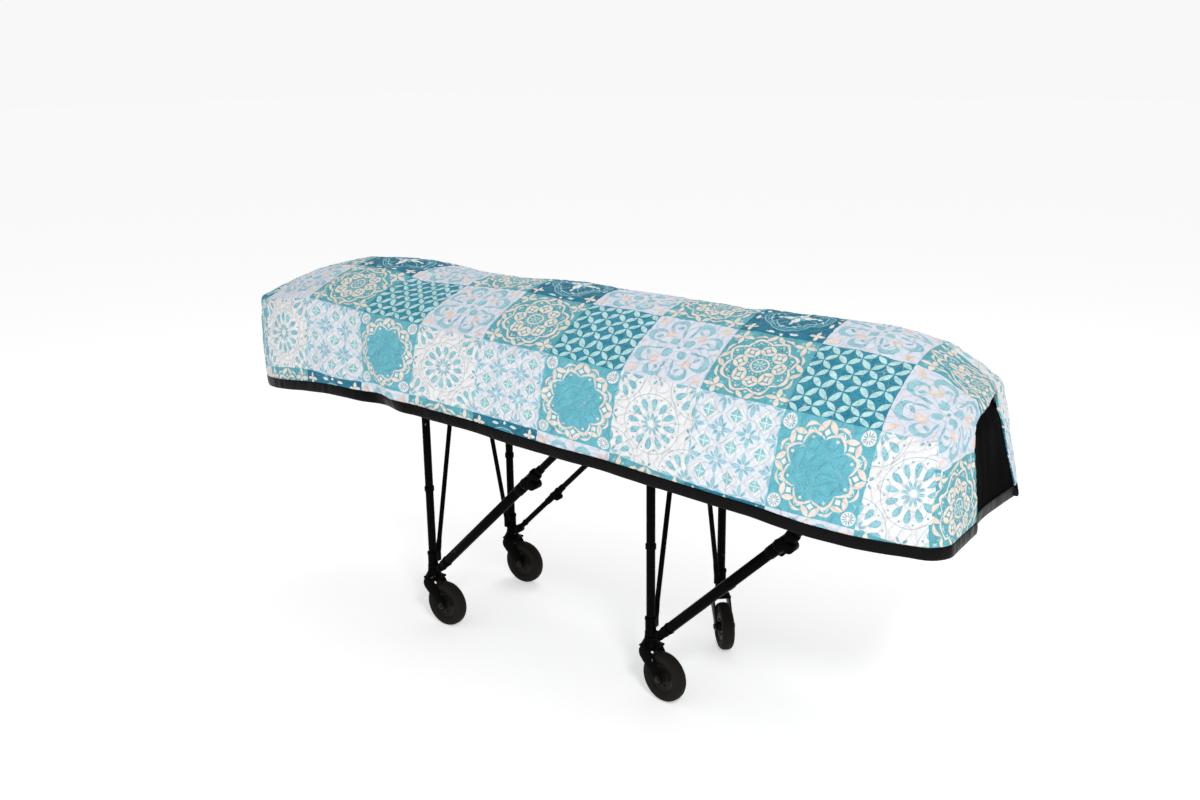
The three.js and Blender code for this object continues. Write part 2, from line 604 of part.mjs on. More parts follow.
function wheelGeometry(section) {
  const upperHalf = section.map(({ radius, along }) => new THREE.Vector2(radius, along));
  const lowerHalf = section.map(({ radius, along }) => new THREE.Vector2(radius, -along)).reverse();
  const geometry = new THREE.LatheGeometry([...lowerHalf, ...upperHalf, lowerHalf[0]], WHEEL_SIDES);
  return geometry.rotateY(halfFacet).translate(FORK.trail, 0, axleZ);
}

// A fork plate is the outline round two circles: the top one beside the crown, the bottom one on the axle.
function cheekGeometry(y) {
  const [alongX, alongZ] = [FORK.trail - CHEEK.x, axleZ - CHEEK.z];
  const fall = Math.atan2(alongZ, alongX);
  const spread = Math.acos((CHEEK.radius - CHEEK.eyeRadius) / Math.hypot(alongX, alongZ));
  const outline = new THREE.Shape();
  outline.absarc(CHEEK.x, CHEEK.z, CHEEK.radius, fall + spread, fall - spread + 2 * Math.PI, false);
  outline.absarc(FORK.trail, axleZ, CHEEK.eyeRadius, fall - spread, fall + spread, false);
  outline.closePath();
  const settings = { depth: FORK.plate, bevelEnabled: false, curveSegments: 8 };
  const plate = new THREE.ExtrudeGeometry(outline, settings);
  return plate.rotateX(Math.PI / 2).translate(0, y + FORK.plate, 0);
}

function forkGeometry() {
  const section = CROWN_SECTION.map(({ radius, height }) => new THREE.Vector2(radius, height));
  const crown = new THREE.LatheGeometry(section, 16).rotateX(Math.PI / 2).translate(0, 0, FORK.crownBottom);
  const outside = FORK.inside + FORK.plate;
  const roof = block(
    [-ROOF.back, -outside, FORK.crownBottom],
    [ROOF.front, outside, FORK.crownBottom + ROOF.thick],
  );
  const holeEnd = outside + CUT_PAST;
  const hole = rod([FORK.trail, -holeEnd, axleZ], [FORK.trail, holeEnd, axleZ], AXLE.radius + GAP);
  const solid = joined(crown, roof, cheekGeometry(-outside), cheekGeometry(FORK.inside));
  return toGeometry(solid.subtract(toSolid(hole)));
}

function axleGeometry() {
  const headFrom = FORK.inside + FORK.plate + GAP;
  const end = headFrom + AXLE.headThick;
  const shaft = rod([FORK.trail, -end, axleZ], [FORK.trail, end, axleZ], AXLE.radius);
  const heads = [-1, 1].map((side) =>
    rod([FORK.trail, side * headFrom, axleZ], [FORK.trail, side * end, axleZ], AXLE.headRadius, 6),
  );
  return toGeometry(joined(shaft, ...heads));
}

const fork = forkGeometry();
const axle = axleGeometry();
const tyre = wheelGeometry(TYRE_SECTION);
const hub = wheelGeometry(HUB_SECTION);
for (const { name, x, side, turn } of CASTERS) {
  const caster = new THREE.Group();
  caster.position.set(x, side * LEG.y, 0);
  caster.rotation.z = THREE.MathUtils.degToRad(turn);
  part.add(caster);
  addMesh("fork_" + name, fork, BLACK_PAINT, caster);
  addMesh("axle_" + name, axle, STEEL, caster);
  addMesh("tyre_" + name, tyre, RUBBER, caster);
  addMesh("hub_" + name, hub, BLACK_PAINT, caster);
}

export default part;
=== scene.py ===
"""The looks of a fitted quilted cover on a wheeled folding cot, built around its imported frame.

The cover's shape is worked out in millimetres, as in the part's own source, and placed in metres.
X runs along the cot towards the end with the vinyl gusset, -Y is the near side and Z is up.
"""

import ast
import math
import operator
from bisect import bisect_right

import bmesh
import bpy
from mathutils import Matrix, Vector, noise


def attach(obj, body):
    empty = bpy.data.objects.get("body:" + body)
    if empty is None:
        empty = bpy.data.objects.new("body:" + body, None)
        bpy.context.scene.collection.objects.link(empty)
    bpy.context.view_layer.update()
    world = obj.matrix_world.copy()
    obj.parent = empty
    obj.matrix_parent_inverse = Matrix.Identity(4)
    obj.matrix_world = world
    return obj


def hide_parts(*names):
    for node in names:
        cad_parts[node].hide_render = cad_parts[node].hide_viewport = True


MM = 0.001
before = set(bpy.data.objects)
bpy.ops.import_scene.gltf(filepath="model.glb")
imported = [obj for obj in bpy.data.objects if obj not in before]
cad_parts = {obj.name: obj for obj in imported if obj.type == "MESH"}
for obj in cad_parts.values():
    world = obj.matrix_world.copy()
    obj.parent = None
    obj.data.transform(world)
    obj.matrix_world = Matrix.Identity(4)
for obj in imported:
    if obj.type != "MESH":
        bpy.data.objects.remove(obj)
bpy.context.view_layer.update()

# The cover's driving sizes, in millimetres
CLOTH = 3
VINYL = 2
SPINE_LEFT = -724
SPINE_RIGHT = 869
FLARE = 1.6
END_FLARE = 1.2
ROUND_END = {"shoulder": 346.5, "hem": 276, "power": 2.8}
SQUARE_END = {
    "shoulder": 178, "hem": 200, "skew": 30, "arch": 34, "rise": 20, "rise_over": 150, "side_y": 240, "corner": 44,
}
SLOT = {"near_top": -80, "near_hem": -68, "far_top": 100, "far_hem": 212, "far_bow": 0.95}
# How far down the end's wall the cloth hangs over the gusset, at the slot's near side and its far side
HANG = {"near": 0.14, "far": 0.03}
HANG_ROWS = 6
GUSSET = {"recess": 14, "growth": 0.8, "lean": 0.6, "behind": 0.6, "lap": 9, "tuck": 13}
GUSSET_GRID = (44, 40)
GUSSET_COLUMNS = 30
BINDING = {"pucker": 1.7}
# The tape's section: out from the hem's edge, and up the wall. The cloth's own edge is between its two sides.
BINDING_SECTION = [
    (-3.4, 24.5), (-4.6, 24), (-5.2, 14), (-5.0, 4), (-3.8, -1.6), (-1.4, -2.9), (0.9, -2.4), (2.0, 0.6), (2.5, 7),
    (2.4, 15), (1.9, 22), (1.2, 24.6), (0.3, 24.9),
]

# The cot, in millimetres
GAP = 0.3
MATTRESS = {"bottom": 716, "clear": 13, "reach": 0.78, "cells": (80, 30), "side_rows": (0.12, 0.4, 0.75, 1.0)}
DECK = {"left": -894, "right": 996, "top": 715.7, "thick": 4}
RAIL = {"y": 212.5, "width": 25, "height": 40}
CROSS = {"z": 690, "radius": 12}
LEG = {
    "head_x": -403, "foot_x": 324, "y": 173, "radius": 11, "bottom": 158.3, "collars": (395, 640), "rivets": (222, 560),
}
SLEEVE = {"radius": 15, "bottom": 160, "top": 208}
LUG = {"inner_y": 145, "half_width": 6, "height": 34}
KNUCKLE = {"reach": 30, "z": 168, "radius": 12, "width": 22}
DIAGONAL = {"rise": 522, "run": 529}
NEAR_BRACE = {"lower": 13.5, "upper": 9.5, "joint": 430, "housing": 66, "housing_radius": 17}
FAR_BRACE = {"lower": 8, "upper": 8, "joint": 180, "housing": 40, "housing_radius": 12}
KNOB = {"offset": 0.7, "radius": 0.75}
V_BRACE = {"radius": 6.5, "low_y": 151, "low_z": 200, "high_y": 52, "root": 12, "stub": 14, "stub_radius": 8}
# Sections of what is turned: radius, and distance from the wheel's middle or height over the crown's foot
TYRE = {
    "radius": 63.1,
    "section": [
        (38.3, 12), (44, 15.4), (49, 17), (51.5, 16.4), (53.5, 16.6), (56.5, 15.6), (59.5, 13.2), (61.8, 9.6), (62.8, 5.6),
        (63.1, 1.8),
    ],
}
HUB_SECTION = [
    (4.4, 18.8), (11.6, 18.8), (13, 17.6), (13.4, 11), (16, 9.6), (24, 8.4), (31, 9.4), (34.5, 11.2), (37, 11.4), (38, 10.4),
]
HUB_BOLTS = {"count": 5, "ring": 21, "radius": 2.8}
AXLE = {"radius": 4, "head_radius": 8, "head_thick": 5}
FORK = {"trail": 47, "plate": 3.5, "inside": 20, "crown_bottom": 131}
ROOF = {"back": 18, "front": 26, "thick": 6}
CHEEK = {"x": 2, "z": 118, "radius": 21, "eye_radius": 13, "steps": 14}
CROWN_SECTION = [(0, 0), (22.4, 0), (23.6, 1), (24, 5.2), (22.6, 7), (19.4, 13), (16.4, 19), (15.2, 26.2), (14.4, 27), (0, 27)]
CASTERS = [
    ("head_near", LEG["head_x"], -1, 0),
    ("head_far", LEG["head_x"], 1, 0),
    ("foot_near", LEG["foot_x"], -1, -10),
    ("foot_far", LEG["foot_x"], 1, -47),
]

# The cover's section at stations along its length
STATION_COLUMNS = ("shoulder_y", "shoulder_z", "hem_y", "hem_z", "crest_z", "crest_y", "crown")
STATIONS = {
    -1041: (276, 870, 322, 628, 982, 0, 1.7),
    -925: (276, 888, 322, 642, 982, 0, 1.7),
    -724: (276, 912, 322, 664, 984, 0, 1.7),
    -614: (276, 904, 326, 672, 986, 0, 1.8),
    -449: (276, 894, 332, 672, 967, 0, 1.9),
    -304: (276, 886, 332, 668, 968, 4, 1.9),
    -69: (276, 872, 332, 652, 975, 6, 1.9),
    208: (276, 856, 332, 634, 966, 8, 1.9),
    485: (276, 840, 330, 615, 965, 10, 1.9),
    671: (276, 828, 328, 598, 963, 14, 1.8),
    791: (275, 821, 318, 583, 963, 20, 1.5),
    900: (270, 814, 300, 572, 952, 28, 1.2),
    1005: (258, 809, 268, 565, 948, 30, 1.15),
    1073: (248, 808, 247, 564, 945, 30, 1.15),
}

# The walls' main folds: side, x at the shoulder, x at the hem, depth inwards, half width, where it starts
FOLDS = [
    (-1, -654, -414, 17, 62, -0.2),
    (-1, -499, -334, -7, 46, 0.2),
    (-1, -69, -99, 6, 90, 0.1),
    (-1, 361, 291, 6, 80, 0.1),
    (-1, 751, 681, 6, 70, 0.0),
    (1, -549, -609, 12, 70, 0.0),
    (1, -159, -89, 8, 90, 0.1),
    (1, 60, 84, -2.6, 60, 0.2),
    (1, 271, 351, 9, 80, 0.0),
    (1, 711, 651, 10, 70, 0.1),
]
# Shallow hollows of the top: x, y, depth, reach along x, reach along y
HOLLOWS = [
    (-469, -120, 9, 90, 70),
    (-209, 110, 6, 120, 80),
    (51, -140, 6, 110, 70),
    (421, 60, 6, 120, 90),
    (611, -150, 6, 80, 60),
]
# Soft creases: from and to in millimetres, depth (a ridge is below zero) and half width
CREASES = [
    ((-760, -296, 850), (-560, -318, 730), 8.0, 20),
    ((-700, -300, 800), (-470, -326, 690), -6.0, 22),
    ((-560, -282, 880), (-500, -305, 800), 4.5, 15),
    ((-930, -262, 880), (-860, -292, 780), 4.5, 22),
    ((-1030, -190, 850), (-1000, -230, 720), 4.5, 24),
    ((-330, -300, 800), (-250, -322, 700), 4.5, 18),
    ((-180, -250, 905), (-60, -285, 850), 3.8, 18),
    ((30, -305, 780), (120, -325, 680), 3.9, 20),
    ((210, -260, 890), (330, -290, 820), 3.8, 18),
    ((560, -312, 740), (610, -322, 640), 4.2, 18),
    ((700, -262, 870), (760, -300, 760), 4.2, 20),
    ((880, -272, 800), (960, -268, 760), 5.2, 12),
    ((900, -262, 826), (985, -262, 792), 4.5, 10),
    ((860, -280, 770), (950, -270, 700), 3.8, 12),
    ((960, -240, 842), (1020, -238, 826), 4.5, 9),
    ((930, -215, 862), (1010, -220, 842), 4.5, 11),
    ((1054, -225, 800), (1058, -180, 740), 4.2, 12),
    ((1056, -200, 780), (1062, -120, 700), -3.6, 16),
    ((-640, -60, 980), (-500, 40, 975), 6.0, 26),
    ((-560, -150, 950), (-420, -40, 970), 4.8, 22),
    ((-300, -100, 955), (-150, 30, 975), 3.9, 26),
    ((150, -60, 960), (300, 30, 966), 4.2, 30),
    ((480, -80, 958), (620, 20, 966), 3.9, 26),
    ((740, -90, 944), (830, 10, 962), 3.6, 22),
    ((-820, 60, 978), (-700, 140, 958), 4.5, 26),
    ((-760, 300, 840), (-640, 315, 720), 5.2, 22),
    ((-350, 300, 810), (-300, 325, 690), 4.5, 22),
    ((120, 300, 800), (180, 325, 660), 4.5, 20),
    ((520, 300, 790), (560, 322, 650), 4.5, 20),
    ((860, 272, 800), (900, 285, 650), 4.5, 20),
]

# The printed cloth: squares of this side, the first column's left edge, and the repeat of motifs
SQUARE = 206
FIRST_COLUMN_X = -930
# The stipple quilting: the room between its stitches, how deep they sit, and the waves that its field is the sum of
QUILT = {"spacing": 19, "depth": 2.0, "groove": 0.6, "waves": 11}
GOLDEN_ANGLE = math.pi * (3 - math.sqrt(5))
# At the round end the wall's print wraps round the corner as far as a seam, at angles from the side.
WRAP = {"from_reach": 0.66, "fade": (math.radians(50), math.radians(75)), "seam": math.radians(65)}
CORNER_SEAM = math.radians(45)
# How far before the square end the seam of the end's print stands, at the shoulder and at the hem, in mm
SEAM_REACH = (13, 40)
# The near flap's print is turned a little: how far down it is shifted at the corner and beside the slot, and across
FLAP_TWIST = {"down": (34, -15), "over": 168, "across": 36}
# The near wall's print is gathered along the hem towards the square corner.
GATHER = {"from": 924, "share": 0.15}
# How much print a length down the near wall takes: at the round end, then the change over each stretch
DOWN_SCALE = [(1.06, None), (0.09, (-640, -400)), (-0.15, (100, 640)), (-0.09, (860, 1000))]
# Towards the square end the far half of the top is pulled over: how far, and the stretches that it grows over
FAR_PULL = {"shift": 62, "along": (760, 1040), "over": (200, 380)}
# How far the hem's pull shifts the print along the near wall at the hem: the shift and the stretch it grows over
PRINT_PULL = [(34, (-520, -340)), (-14, (-100, 300)), (-42, (420, 930))]
SHOULDER_CELLS = 10
SHOULDER_DROP = 0.22
SHOULDER_PASSES = 44
CREASE_RUNS = [(Vector(start), Vector(end), depth, half) for start, end, depth, half in CREASES]


def colour(hex_code):
    """The linear colour of an sRGB hex code."""
    channels = [int(hex_code[i : i + 2], 16) / 255 for i in (1, 3, 5)]
    return [c / 12.92 if c <= 0.04045 else ((c + 0.055) / 1.055) ** 2.4 for c in channels] + [1.0]


def mix(a, b, share):
    return a + (b - a) * share


def smooth(low, high, value):
    share = min(1, max(0, (value - low) / (high - low)))
    return share * share * (3 - 2 * share)


def bell(value):
    return math.exp(-value * value)


# The cover's form
STATION_X = sorted(STATIONS)


def station(x, name):
    """A value of the section at x, on a smooth curve through the stations."""
    rows = [STATIONS[key][STATION_COLUMNS.index(name)] for key in STATION_X]
    if x <= STATION_X[0]:
        return rows[0]
    if x >= STATION_X[-1]:
        return rows[-1]
    i = bisect_right(STATION_X, x) - 1
    width = STATION_X[i + 1] - STATION_X[i]
    slopes = []
    for k in (i, i + 1):
        low, high = max(0, k - 1), min(len(rows) - 1, k + 1)
        slopes.append((rows[high] - rows[low]) / (STATION_X[high] - STATION_X[low]) * width)
    t = (x - STATION_X[i]) / width
    ends = rows[i] * (1 + 2 * t) * (1 - t) ** 2 + rows[i + 1] * t * t * (3 - 2 * t)
    return ends + slopes[0] * t * (1 - t) ** 2 + slopes[1] * t * t * (t - 1)


def end_x(y, drop=0.0):
    """Where the square end stands at y. drop is 0 at the shoulder and 1 at the hem."""
    shoulder = SQUARE_END["shoulder"] - SQUARE_END["skew"] * smooth(0, SQUARE_END["side_y"], y)
    return SPINE_RIGHT + mix(shoulder, SQUARE_END["hem"], 1 - (1 - drop) ** END_FLARE)


def half_width(x, drop=0.0):
    return mix(station(x, "shoulder_y"), station(x, "hem_y"), 1 - (1 - drop) ** FLARE)


def shoulder_height(x, y, at_end):
    """at_end is the share of the square end's arch that the point has."""
    near_end = smooth(SPINE_RIGHT - SQUARE_END["rise_over"], SPINE_RIGHT + SQUARE_END["rise_over"], x)
    rise = SQUARE_END["rise"] * smooth(0, SQUARE_END["side_y"], y) * near_end
    arch = SQUARE_END["arch"] * max(0, 1 - (y / station(x, "shoulder_y")) ** 2)
    return station(x, "shoulder_z") + rise + arch * at_end


def top_point(x, y):
    """The top's point over x, y, with its crown and hollows."""
    if x < SPINE_LEFT:
        power = ROUND_END["power"]
        out, across = (SPINE_LEFT - x) / ROUND_END["shoulder"], abs(y) / half_width(SPINE_LEFT)
        reach = (out**power + across**power) ** (1 / power)
        edge_x = SPINE_LEFT - (SPINE_LEFT - x) / max(reach, 1e-6)
        shoulder, crest_x = station(edge_x, "shoulder_z"), SPINE_LEFT
    else:
        across = abs(y) / half_width(x)
        out = max(0, (x - SPINE_RIGHT) / (end_x(y) - SPINE_RIGHT))
        reach = (across**6 + out**6) ** (1 / 6)
        at_end = out**6 / max(out**6 + across**6, 1e-9)
        side_end = mix(SPINE_RIGHT, end_x(math.copysign(SQUARE_END["side_y"], y)), min(1, reach))
        share = min(1, (x - SPINE_LEFT) / (side_end - SPINE_LEFT))
        crest_x = mix(SPINE_LEFT, SPINE_RIGHT, share)
        side_edge = mix(SPINE_LEFT, end_x(math.copysign(SQUARE_END["side_y"], y)), share)
        edge_y = y / max(reach, 0.3)
        shoulder = mix(
            shoulder_height(side_edge, math.copysign(half_width(side_edge), y), 0),
            shoulder_height(end_x(edge_y), edge_y, 1),
            at_end,
        )
    reach = min(1, reach)
    z = mix(station(crest_x, "crest_z"), shoulder, reach ** station(crest_x, "crown"))
    for centre_x, centre_y, depth, along, across_y in HOLLOWS:
        z -= depth * bell((x - centre_x) / along) * bell((y - centre_y) / across_y)
    return Vector((x, y + station(crest_x, "crest_y") * (1 - reach), z))


def wall_point(place, drop):
    """A point of the walls. place says what the column belongs to and where it stands there."""
    kind, side, share = place
    if kind == "round":
        length = mix(ROUND_END["shoulder"], ROUND_END["hem"], drop)
        across = math.copysign(abs(math.cos(share)) ** (2 / ROUND_END["power"]), math.cos(share))
        x = SPINE_LEFT - length * math.sin(share) ** (2 / ROUND_END["power"])
        y = -half_width(SPINE_LEFT, drop) * across
        return Vector((x, y, mix(station(x, "shoulder_z"), station(x, "hem_z"), drop)))
    corner = SQUARE_END["corner"]
    corner_x = end_x(side * SQUARE_END["side_y"], drop)
    if kind == "side":
        x = mix(SPINE_LEFT, corner_x - corner, share)
        y = side * (half_width(x, drop) - fold_depth(x, side, drop))
        return Vector((x, y, mix(shoulder_height(x, y, 0), station(x, "hem_z"), drop)))
    if kind == "corner":
        x = corner_x - corner + corner * math.sin(share)
        y = side * (half_width(x, drop) - corner + corner * math.cos(share))
        top = shoulder_height(x, y, smooth(0, math.pi / 2, share))
        return Vector((x, y, mix(top, station(x, "hem_z"), drop)))
    corner_y = half_width(end_x(0, drop), drop) - corner
    y = mix(slot_edge(side, drop), side * corner_y, share)
    if kind == "slot":
        y = mix(slot_edge(-1, drop), slot_edge(1, drop), share)
    x = end_x(y, drop)
    return Vector((x, y, mix(shoulder_height(x, y, 1), station(x, "hem_z"), drop)))


def slot_edge(side, drop):
    if side < 0:
        return mix(SLOT["near_top"], SLOT["near_hem"], drop)
    return mix(SLOT["far_top"], SLOT["far_hem"], drop ** SLOT["far_bow"])


def fold_depth(x, side, drop):
    depth = 0
    for fold_side, from_x, to_x, fold, half, start in FOLDS:
        if fold_side == side:
            depth += fold * bell((x - mix(from_x, to_x, drop)) / half) * smooth(start, start + 0.5, drop)
    return depth


# The cover's grid: how many cells each stretch of the top has, along and across
END_HALF_WIDTH = half_width(end_x(0))
ALONG = {"round": 66, "straight": 330, "corner": 5}
CORNER_T = 1 - SQUARE_END["corner"] / END_HALF_WIDTH
ACROSS_BREAKS = [-1, -CORNER_T, SLOT["near_top"] / END_HALF_WIDTH, SLOT["far_top"] / END_HALF_WIDTH, CORNER_T, 1]
ACROSS_CELLS = [6, 32, 38, 27, 6]
WALL_CELLS = 44
STRAIGHT_FROM = ALONG["round"]
CORNER_FROM = ALONG["round"] + ALONG["straight"]
LAST_ALONG = CORNER_FROM + ALONG["corner"]
LAST_ACROSS = sum(ACROSS_CELLS)


def across_share(j):
    """The share of the half width at line j of the grid, from -1 at the near side to 1 at the far side."""
    for low, high, cells in zip(ACROSS_BREAKS, ACROSS_BREAKS[1:], ACROSS_CELLS):
        if j <= cells:
            return mix(low, high, j / cells)
        j -= cells
    return 1.0


def grid_plan(i, j):
    """Where crossing i, j of the top's grid stands in plan, and its place in the ring if it is on the edge."""
    t = across_share(j)
    if i < STRAIGHT_FROM:
        u = i / STRAIGHT_FROM - 1
        out, across = -u * math.sqrt(1 - t * t / 2), t * math.sqrt(1 - u * u / 2)
        radius, angle = math.hypot(out, across), math.atan2(out, -across)
        power = ROUND_END["power"]
        outwards = math.sin(angle)
        stretch = (outwards**power + abs(math.cos(angle)) ** power) ** (-1 / power)
        x = SPINE_LEFT - ROUND_END["shoulder"] * radius * stretch * outwards
        y = -half_width(SPINE_LEFT) * radius * stretch * math.cos(angle)
        ratio = (outwards / max(abs(math.cos(angle)), 1e-9)) ** (power / 2)
        around = math.atan(ratio)
        return x, y, ("round", 0, around if math.cos(angle) > 0 else math.pi - around)
    side = -1 if t < 0 else 1
    corner = SQUARE_END["corner"]
    last_x = end_x(t * END_HALF_WIDTH)
    if i <= CORNER_FROM:
        share = (i - STRAIGHT_FROM) / ALONG["straight"]
        x = mix(SPINE_LEFT, last_x - corner, share)
        return x, t * half_width(x), ("side", side, share)
    turn = (i - CORNER_FROM) / ALONG["corner"]
    x = last_x - corner + corner * turn
    beyond = (abs(t) - CORNER_T) / (1 - CORNER_T)
    if beyond <= 0:
        near, far = slot_edge(-1, 0), slot_edge(1, 0)
        over_slot = (t * END_HALF_WIDTH - near) / (far - near)
        if 1e-6 < over_slot < 1 - 1e-6:
            return x, t * half_width(x), ("slot", side, over_slot)
        edge = slot_edge(side, 0)
        share = (t * END_HALF_WIDTH - edge) / (side * CORNER_T * END_HALF_WIDTH - edge)
        return x, t * half_width(x), ("flap", side, share)
    out, across = turn * math.sqrt(1 - beyond**2 / 2), beyond * math.sqrt(1 - turn**2 / 2)
    x = last_x - corner + corner * out
    y = side * (half_width(x) - corner + corner * across)
    return x, y, ("corner", side, math.atan2(out, across))


def build_cover():
    """The top is a grid laid over the crown, and the walls are drawn down from its edge.

    Returns the bmesh and, for each vertex, where it lies in the printed cloth.
    """
    bm = bmesh.new()
    bm.loops.layers.uv.new("print")
    bm.verts.layers.float.new("quilt")
    bmesh.ops.create_grid(bm, x_segments=LAST_ALONG, y_segments=LAST_ACROSS, size=0.5)
    grid = {}
    places = {}
    for vert in bm.verts:
        i, j = round((vert.co.x + 0.5) * LAST_ALONG), round((vert.co.y + 0.5) * LAST_ACROSS)
        grid[i, j] = vert
        x, y, place = grid_plan(i, j)
        vert.co = top_point(x, y)
        if i in (0, LAST_ALONG) or j in (0, LAST_ACROSS):
            places[vert] = place
    flat = lay_print(grid)
    shoulder = [grid[i, j] for i, j in grid if min(i, j, LAST_ALONG - i, LAST_ACROSS - j) in range(1, SHOULDER_CELLS)]
    ring = [e for e in bm.edges if e.is_boundary]
    for step in range(1, WALL_CELLS + 1):
        if step > HANG_ROWS:
            ring = [e for e in ring if all(places[v][0] != "slot" for v in e.verts)]
        made = bmesh.ops.extrude_edge_only(bm, edges=ring)["geom"]
        above = {tuple(vert.co): vert for vert in places}
        below = {}
        for vert in made:
            if isinstance(vert, bmesh.types.BMVert):
                parent = above[tuple(vert.co)]
                below[vert] = places[parent]
                flat[vert] = dict(flat[parent], drop=drop_at(places[parent], step))
        for vert, place in below.items():
            start = vert.co.copy()
            vert.co = wall_point(place, flat[vert]["drop"])
            flat[vert]["down"] += (vert.co - start).length
        if step < SHOULDER_DROP * WALL_CELLS:
            shoulder += list(below) + ([v for v in places] if step == 1 else [])
        ring = [e for e in made if isinstance(e, bmesh.types.BMEdge) and all(v in below for v in e.verts)]
        places = below
    shoulder = [v for v in shoulder if not v.is_boundary]
    for _ in range(SHOULDER_PASSES):
        bmesh.ops.smooth_vert(bm, verts=shoulder, factor=0.5, use_axis_x=True, use_axis_y=True, use_axis_z=True)
    return bm, flat


def drop_at(place, step):
    """How far down the wall a row of its cells is. Over the gusset the rows are as close as the hanging edge asks."""
    kind, _, share = place
    if kind == "slot":
        return mix(HANG["near"], HANG["far"], share) * step / HANG_ROWS
    return step / WALL_CELLS


def lay_print(grid):
    """Where each vertex of the top lies in the printed cloth, in mm along the cot and over it from the near shoulder."""
    flat = {}
    over_at = {}
    for i in range(LAST_ALONG + 1):
        over = 0.0
        for j in range(LAST_ACROSS + 1):
            if j:
                over += (grid[i, j].co - grid[i, j - 1].co).length
            over_at[i, j] = over
            place = {"u": grid[i, j].co.x, "v": over, "down": 0.0, "drop": 0.0, "panel": "top", "kind": "top"}
            flat[grid[i, j]] = dict(place, side=-1 if j < LAST_ACROSS / 2 else 1)
    section = [(grid[STRAIGHT_FROM, j].co.y, over_at[STRAIGHT_FROM, j]) for j in range(LAST_ACROSS + 1)]
    edge = [(i, 0) for i in range(STRAIGHT_FROM, -1, -1)] + [(0, j) for j in range(1, LAST_ACROSS + 1)]
    edge += [(i, LAST_ACROSS) for i in range(1, STRAIGHT_FROM + 1)]
    arcs, arc = [(0.0, 0.0)], 0.0
    for last, here in zip(edge, edge[1:]):
        arc += (grid[here].co - grid[last].co).length
        arcs.append((grid_plan(*here)[2][2], arc))
    arcs[-1] = (math.pi, arc)
    whole = over_at[STRAIGHT_FROM, LAST_ACROSS]
    for (i, j), vert in grid.items():
        if i >= STRAIGHT_FROM:
            continue
        place = flat[vert]
        place["v"] = lookup(section, vert.co.y)
        around = grid_plan(i, j)[2][2]
        near = around < math.pi / 2
        turn = around if near else math.pi - around
        power = ROUND_END["power"]
        out = (SPINE_LEFT - vert.co.x) / ROUND_END["shoulder"]
        across = abs(vert.co.y) / half_width(SPINE_LEFT)
        reach = (out**power + across**power) ** (1 / power)
        wrapped = smooth(WRAP["from_reach"], 1, reach) * (1 - smooth(*WRAP["fade"], turn))
        place["arc"] = lookup(arcs, around) if near else arc - lookup(arcs, around)
        place["v"] = mix(place["v"], 0.0 if near else whole, wrapped)
        place["u"] = mix(place["u"], SPINE_LEFT - place["arc"], wrapped)
    for (i, j), vert in grid.items():
        if i in (0, LAST_ALONG) or j in (0, LAST_ACROSS):
            kind, side, share = grid_plan(i, j)[2]
            panel = "near" if side < 0 else "far"
            if kind in ("flap", "slot") or (kind == "corner" and share > CORNER_SEAM):
                panel = "end"
            if kind == "round":
                panel = "near" if share < WRAP["seam"] else "far" if share > math.pi - WRAP["seam"] else "head"
            flat[vert]["panel"] = panel
            if kind == "corner" and panel != "end":
                kind = "side"
            flat[vert]["kind"] = kind
    return flat


def lookup(rows, value):
    """The second column of rows at a value of the first, which rises."""
    keys = [row[0] for row in rows]
    i = min(max(bisect_right(keys, value) - 1, 0), len(rows) - 2)
    width = rows[i + 1][0] - rows[i][0]
    return mix(rows[i][1], rows[i + 1][1], (value - rows[i][0]) / width if width else 0)


def cloth_place(place, panel):
    """Print coordinates in mm of a vertex, as the cloth of that panel runs down from the top."""
    u, v, down = place["u"], place["v"], place["down"]
    v += FAR_PULL["shift"] * smooth(*FAR_PULL["along"], u) * smooth(*FAR_PULL["over"], v)
    if panel == "near":
        pulled = PRINT_PULL[0][0] + sum(
            (shift if k else -shift) * smooth(*stretch, u) for k, (shift, stretch) in enumerate(PRINT_PULL)
        )
        scale = sum(change * (smooth(*stretch, u) if stretch else 1) for change, stretch in DOWN_SCALE)
        u -= pulled * place["drop"]
        return u + GATHER["share"] * max(0, u - GATHER["from"]), v - scale * down
    if panel == "far":
        return u, v + down
    if panel == "end":
        corner = end_x(place["side"] * SQUARE_END["side_y"])
        if place["kind"] == "side":
            u, v = corner, v + place["side"] * (corner - u)
        if place["side"] < 0:
            twist = smooth(0, 0.4, place["drop"])
            down += twist * mix(*FLAP_TWIST["down"], min(1, max(0, v / FLAP_TWIST["over"])))
            v += twist * FLAP_TWIST["across"]
        return u + down, v
    if panel == "head":
        return u - down, v
    return u, v


def quilt_value(u, v):
    """The stipple quilting as one wandering field of the cloth, in mm. A stitch lies where it is zero."""
    total = 0.0
    for k in range(QUILT["waves"]):
        heading = k * GOLDEN_ANGLE
        length = 2 * QUILT["spacing"] * (0.86 + 0.28 * (k * 0.618 % 1))
        total += math.cos(2 * math.pi * (u * math.cos(heading) + v * math.sin(heading)) / length + 1.7 * k * k)
    return total / math.sqrt(QUILT["waves"] / 2)


def crease_depth(point):
    """How far the soft creases push a point in, along its normal."""
    depth = 0.0
    for start, end, deep, half in CREASE_RUNS:
        run = end - start
        share = min(1, max(0, (point - start).dot(run) / run.length_squared))
        gap = (point - start - run * share).length
        if gap < 3 * half:
            depth += deep * bell(gap / half) * (0.35 + 0.65 * math.sin(math.pi * share))
    return depth


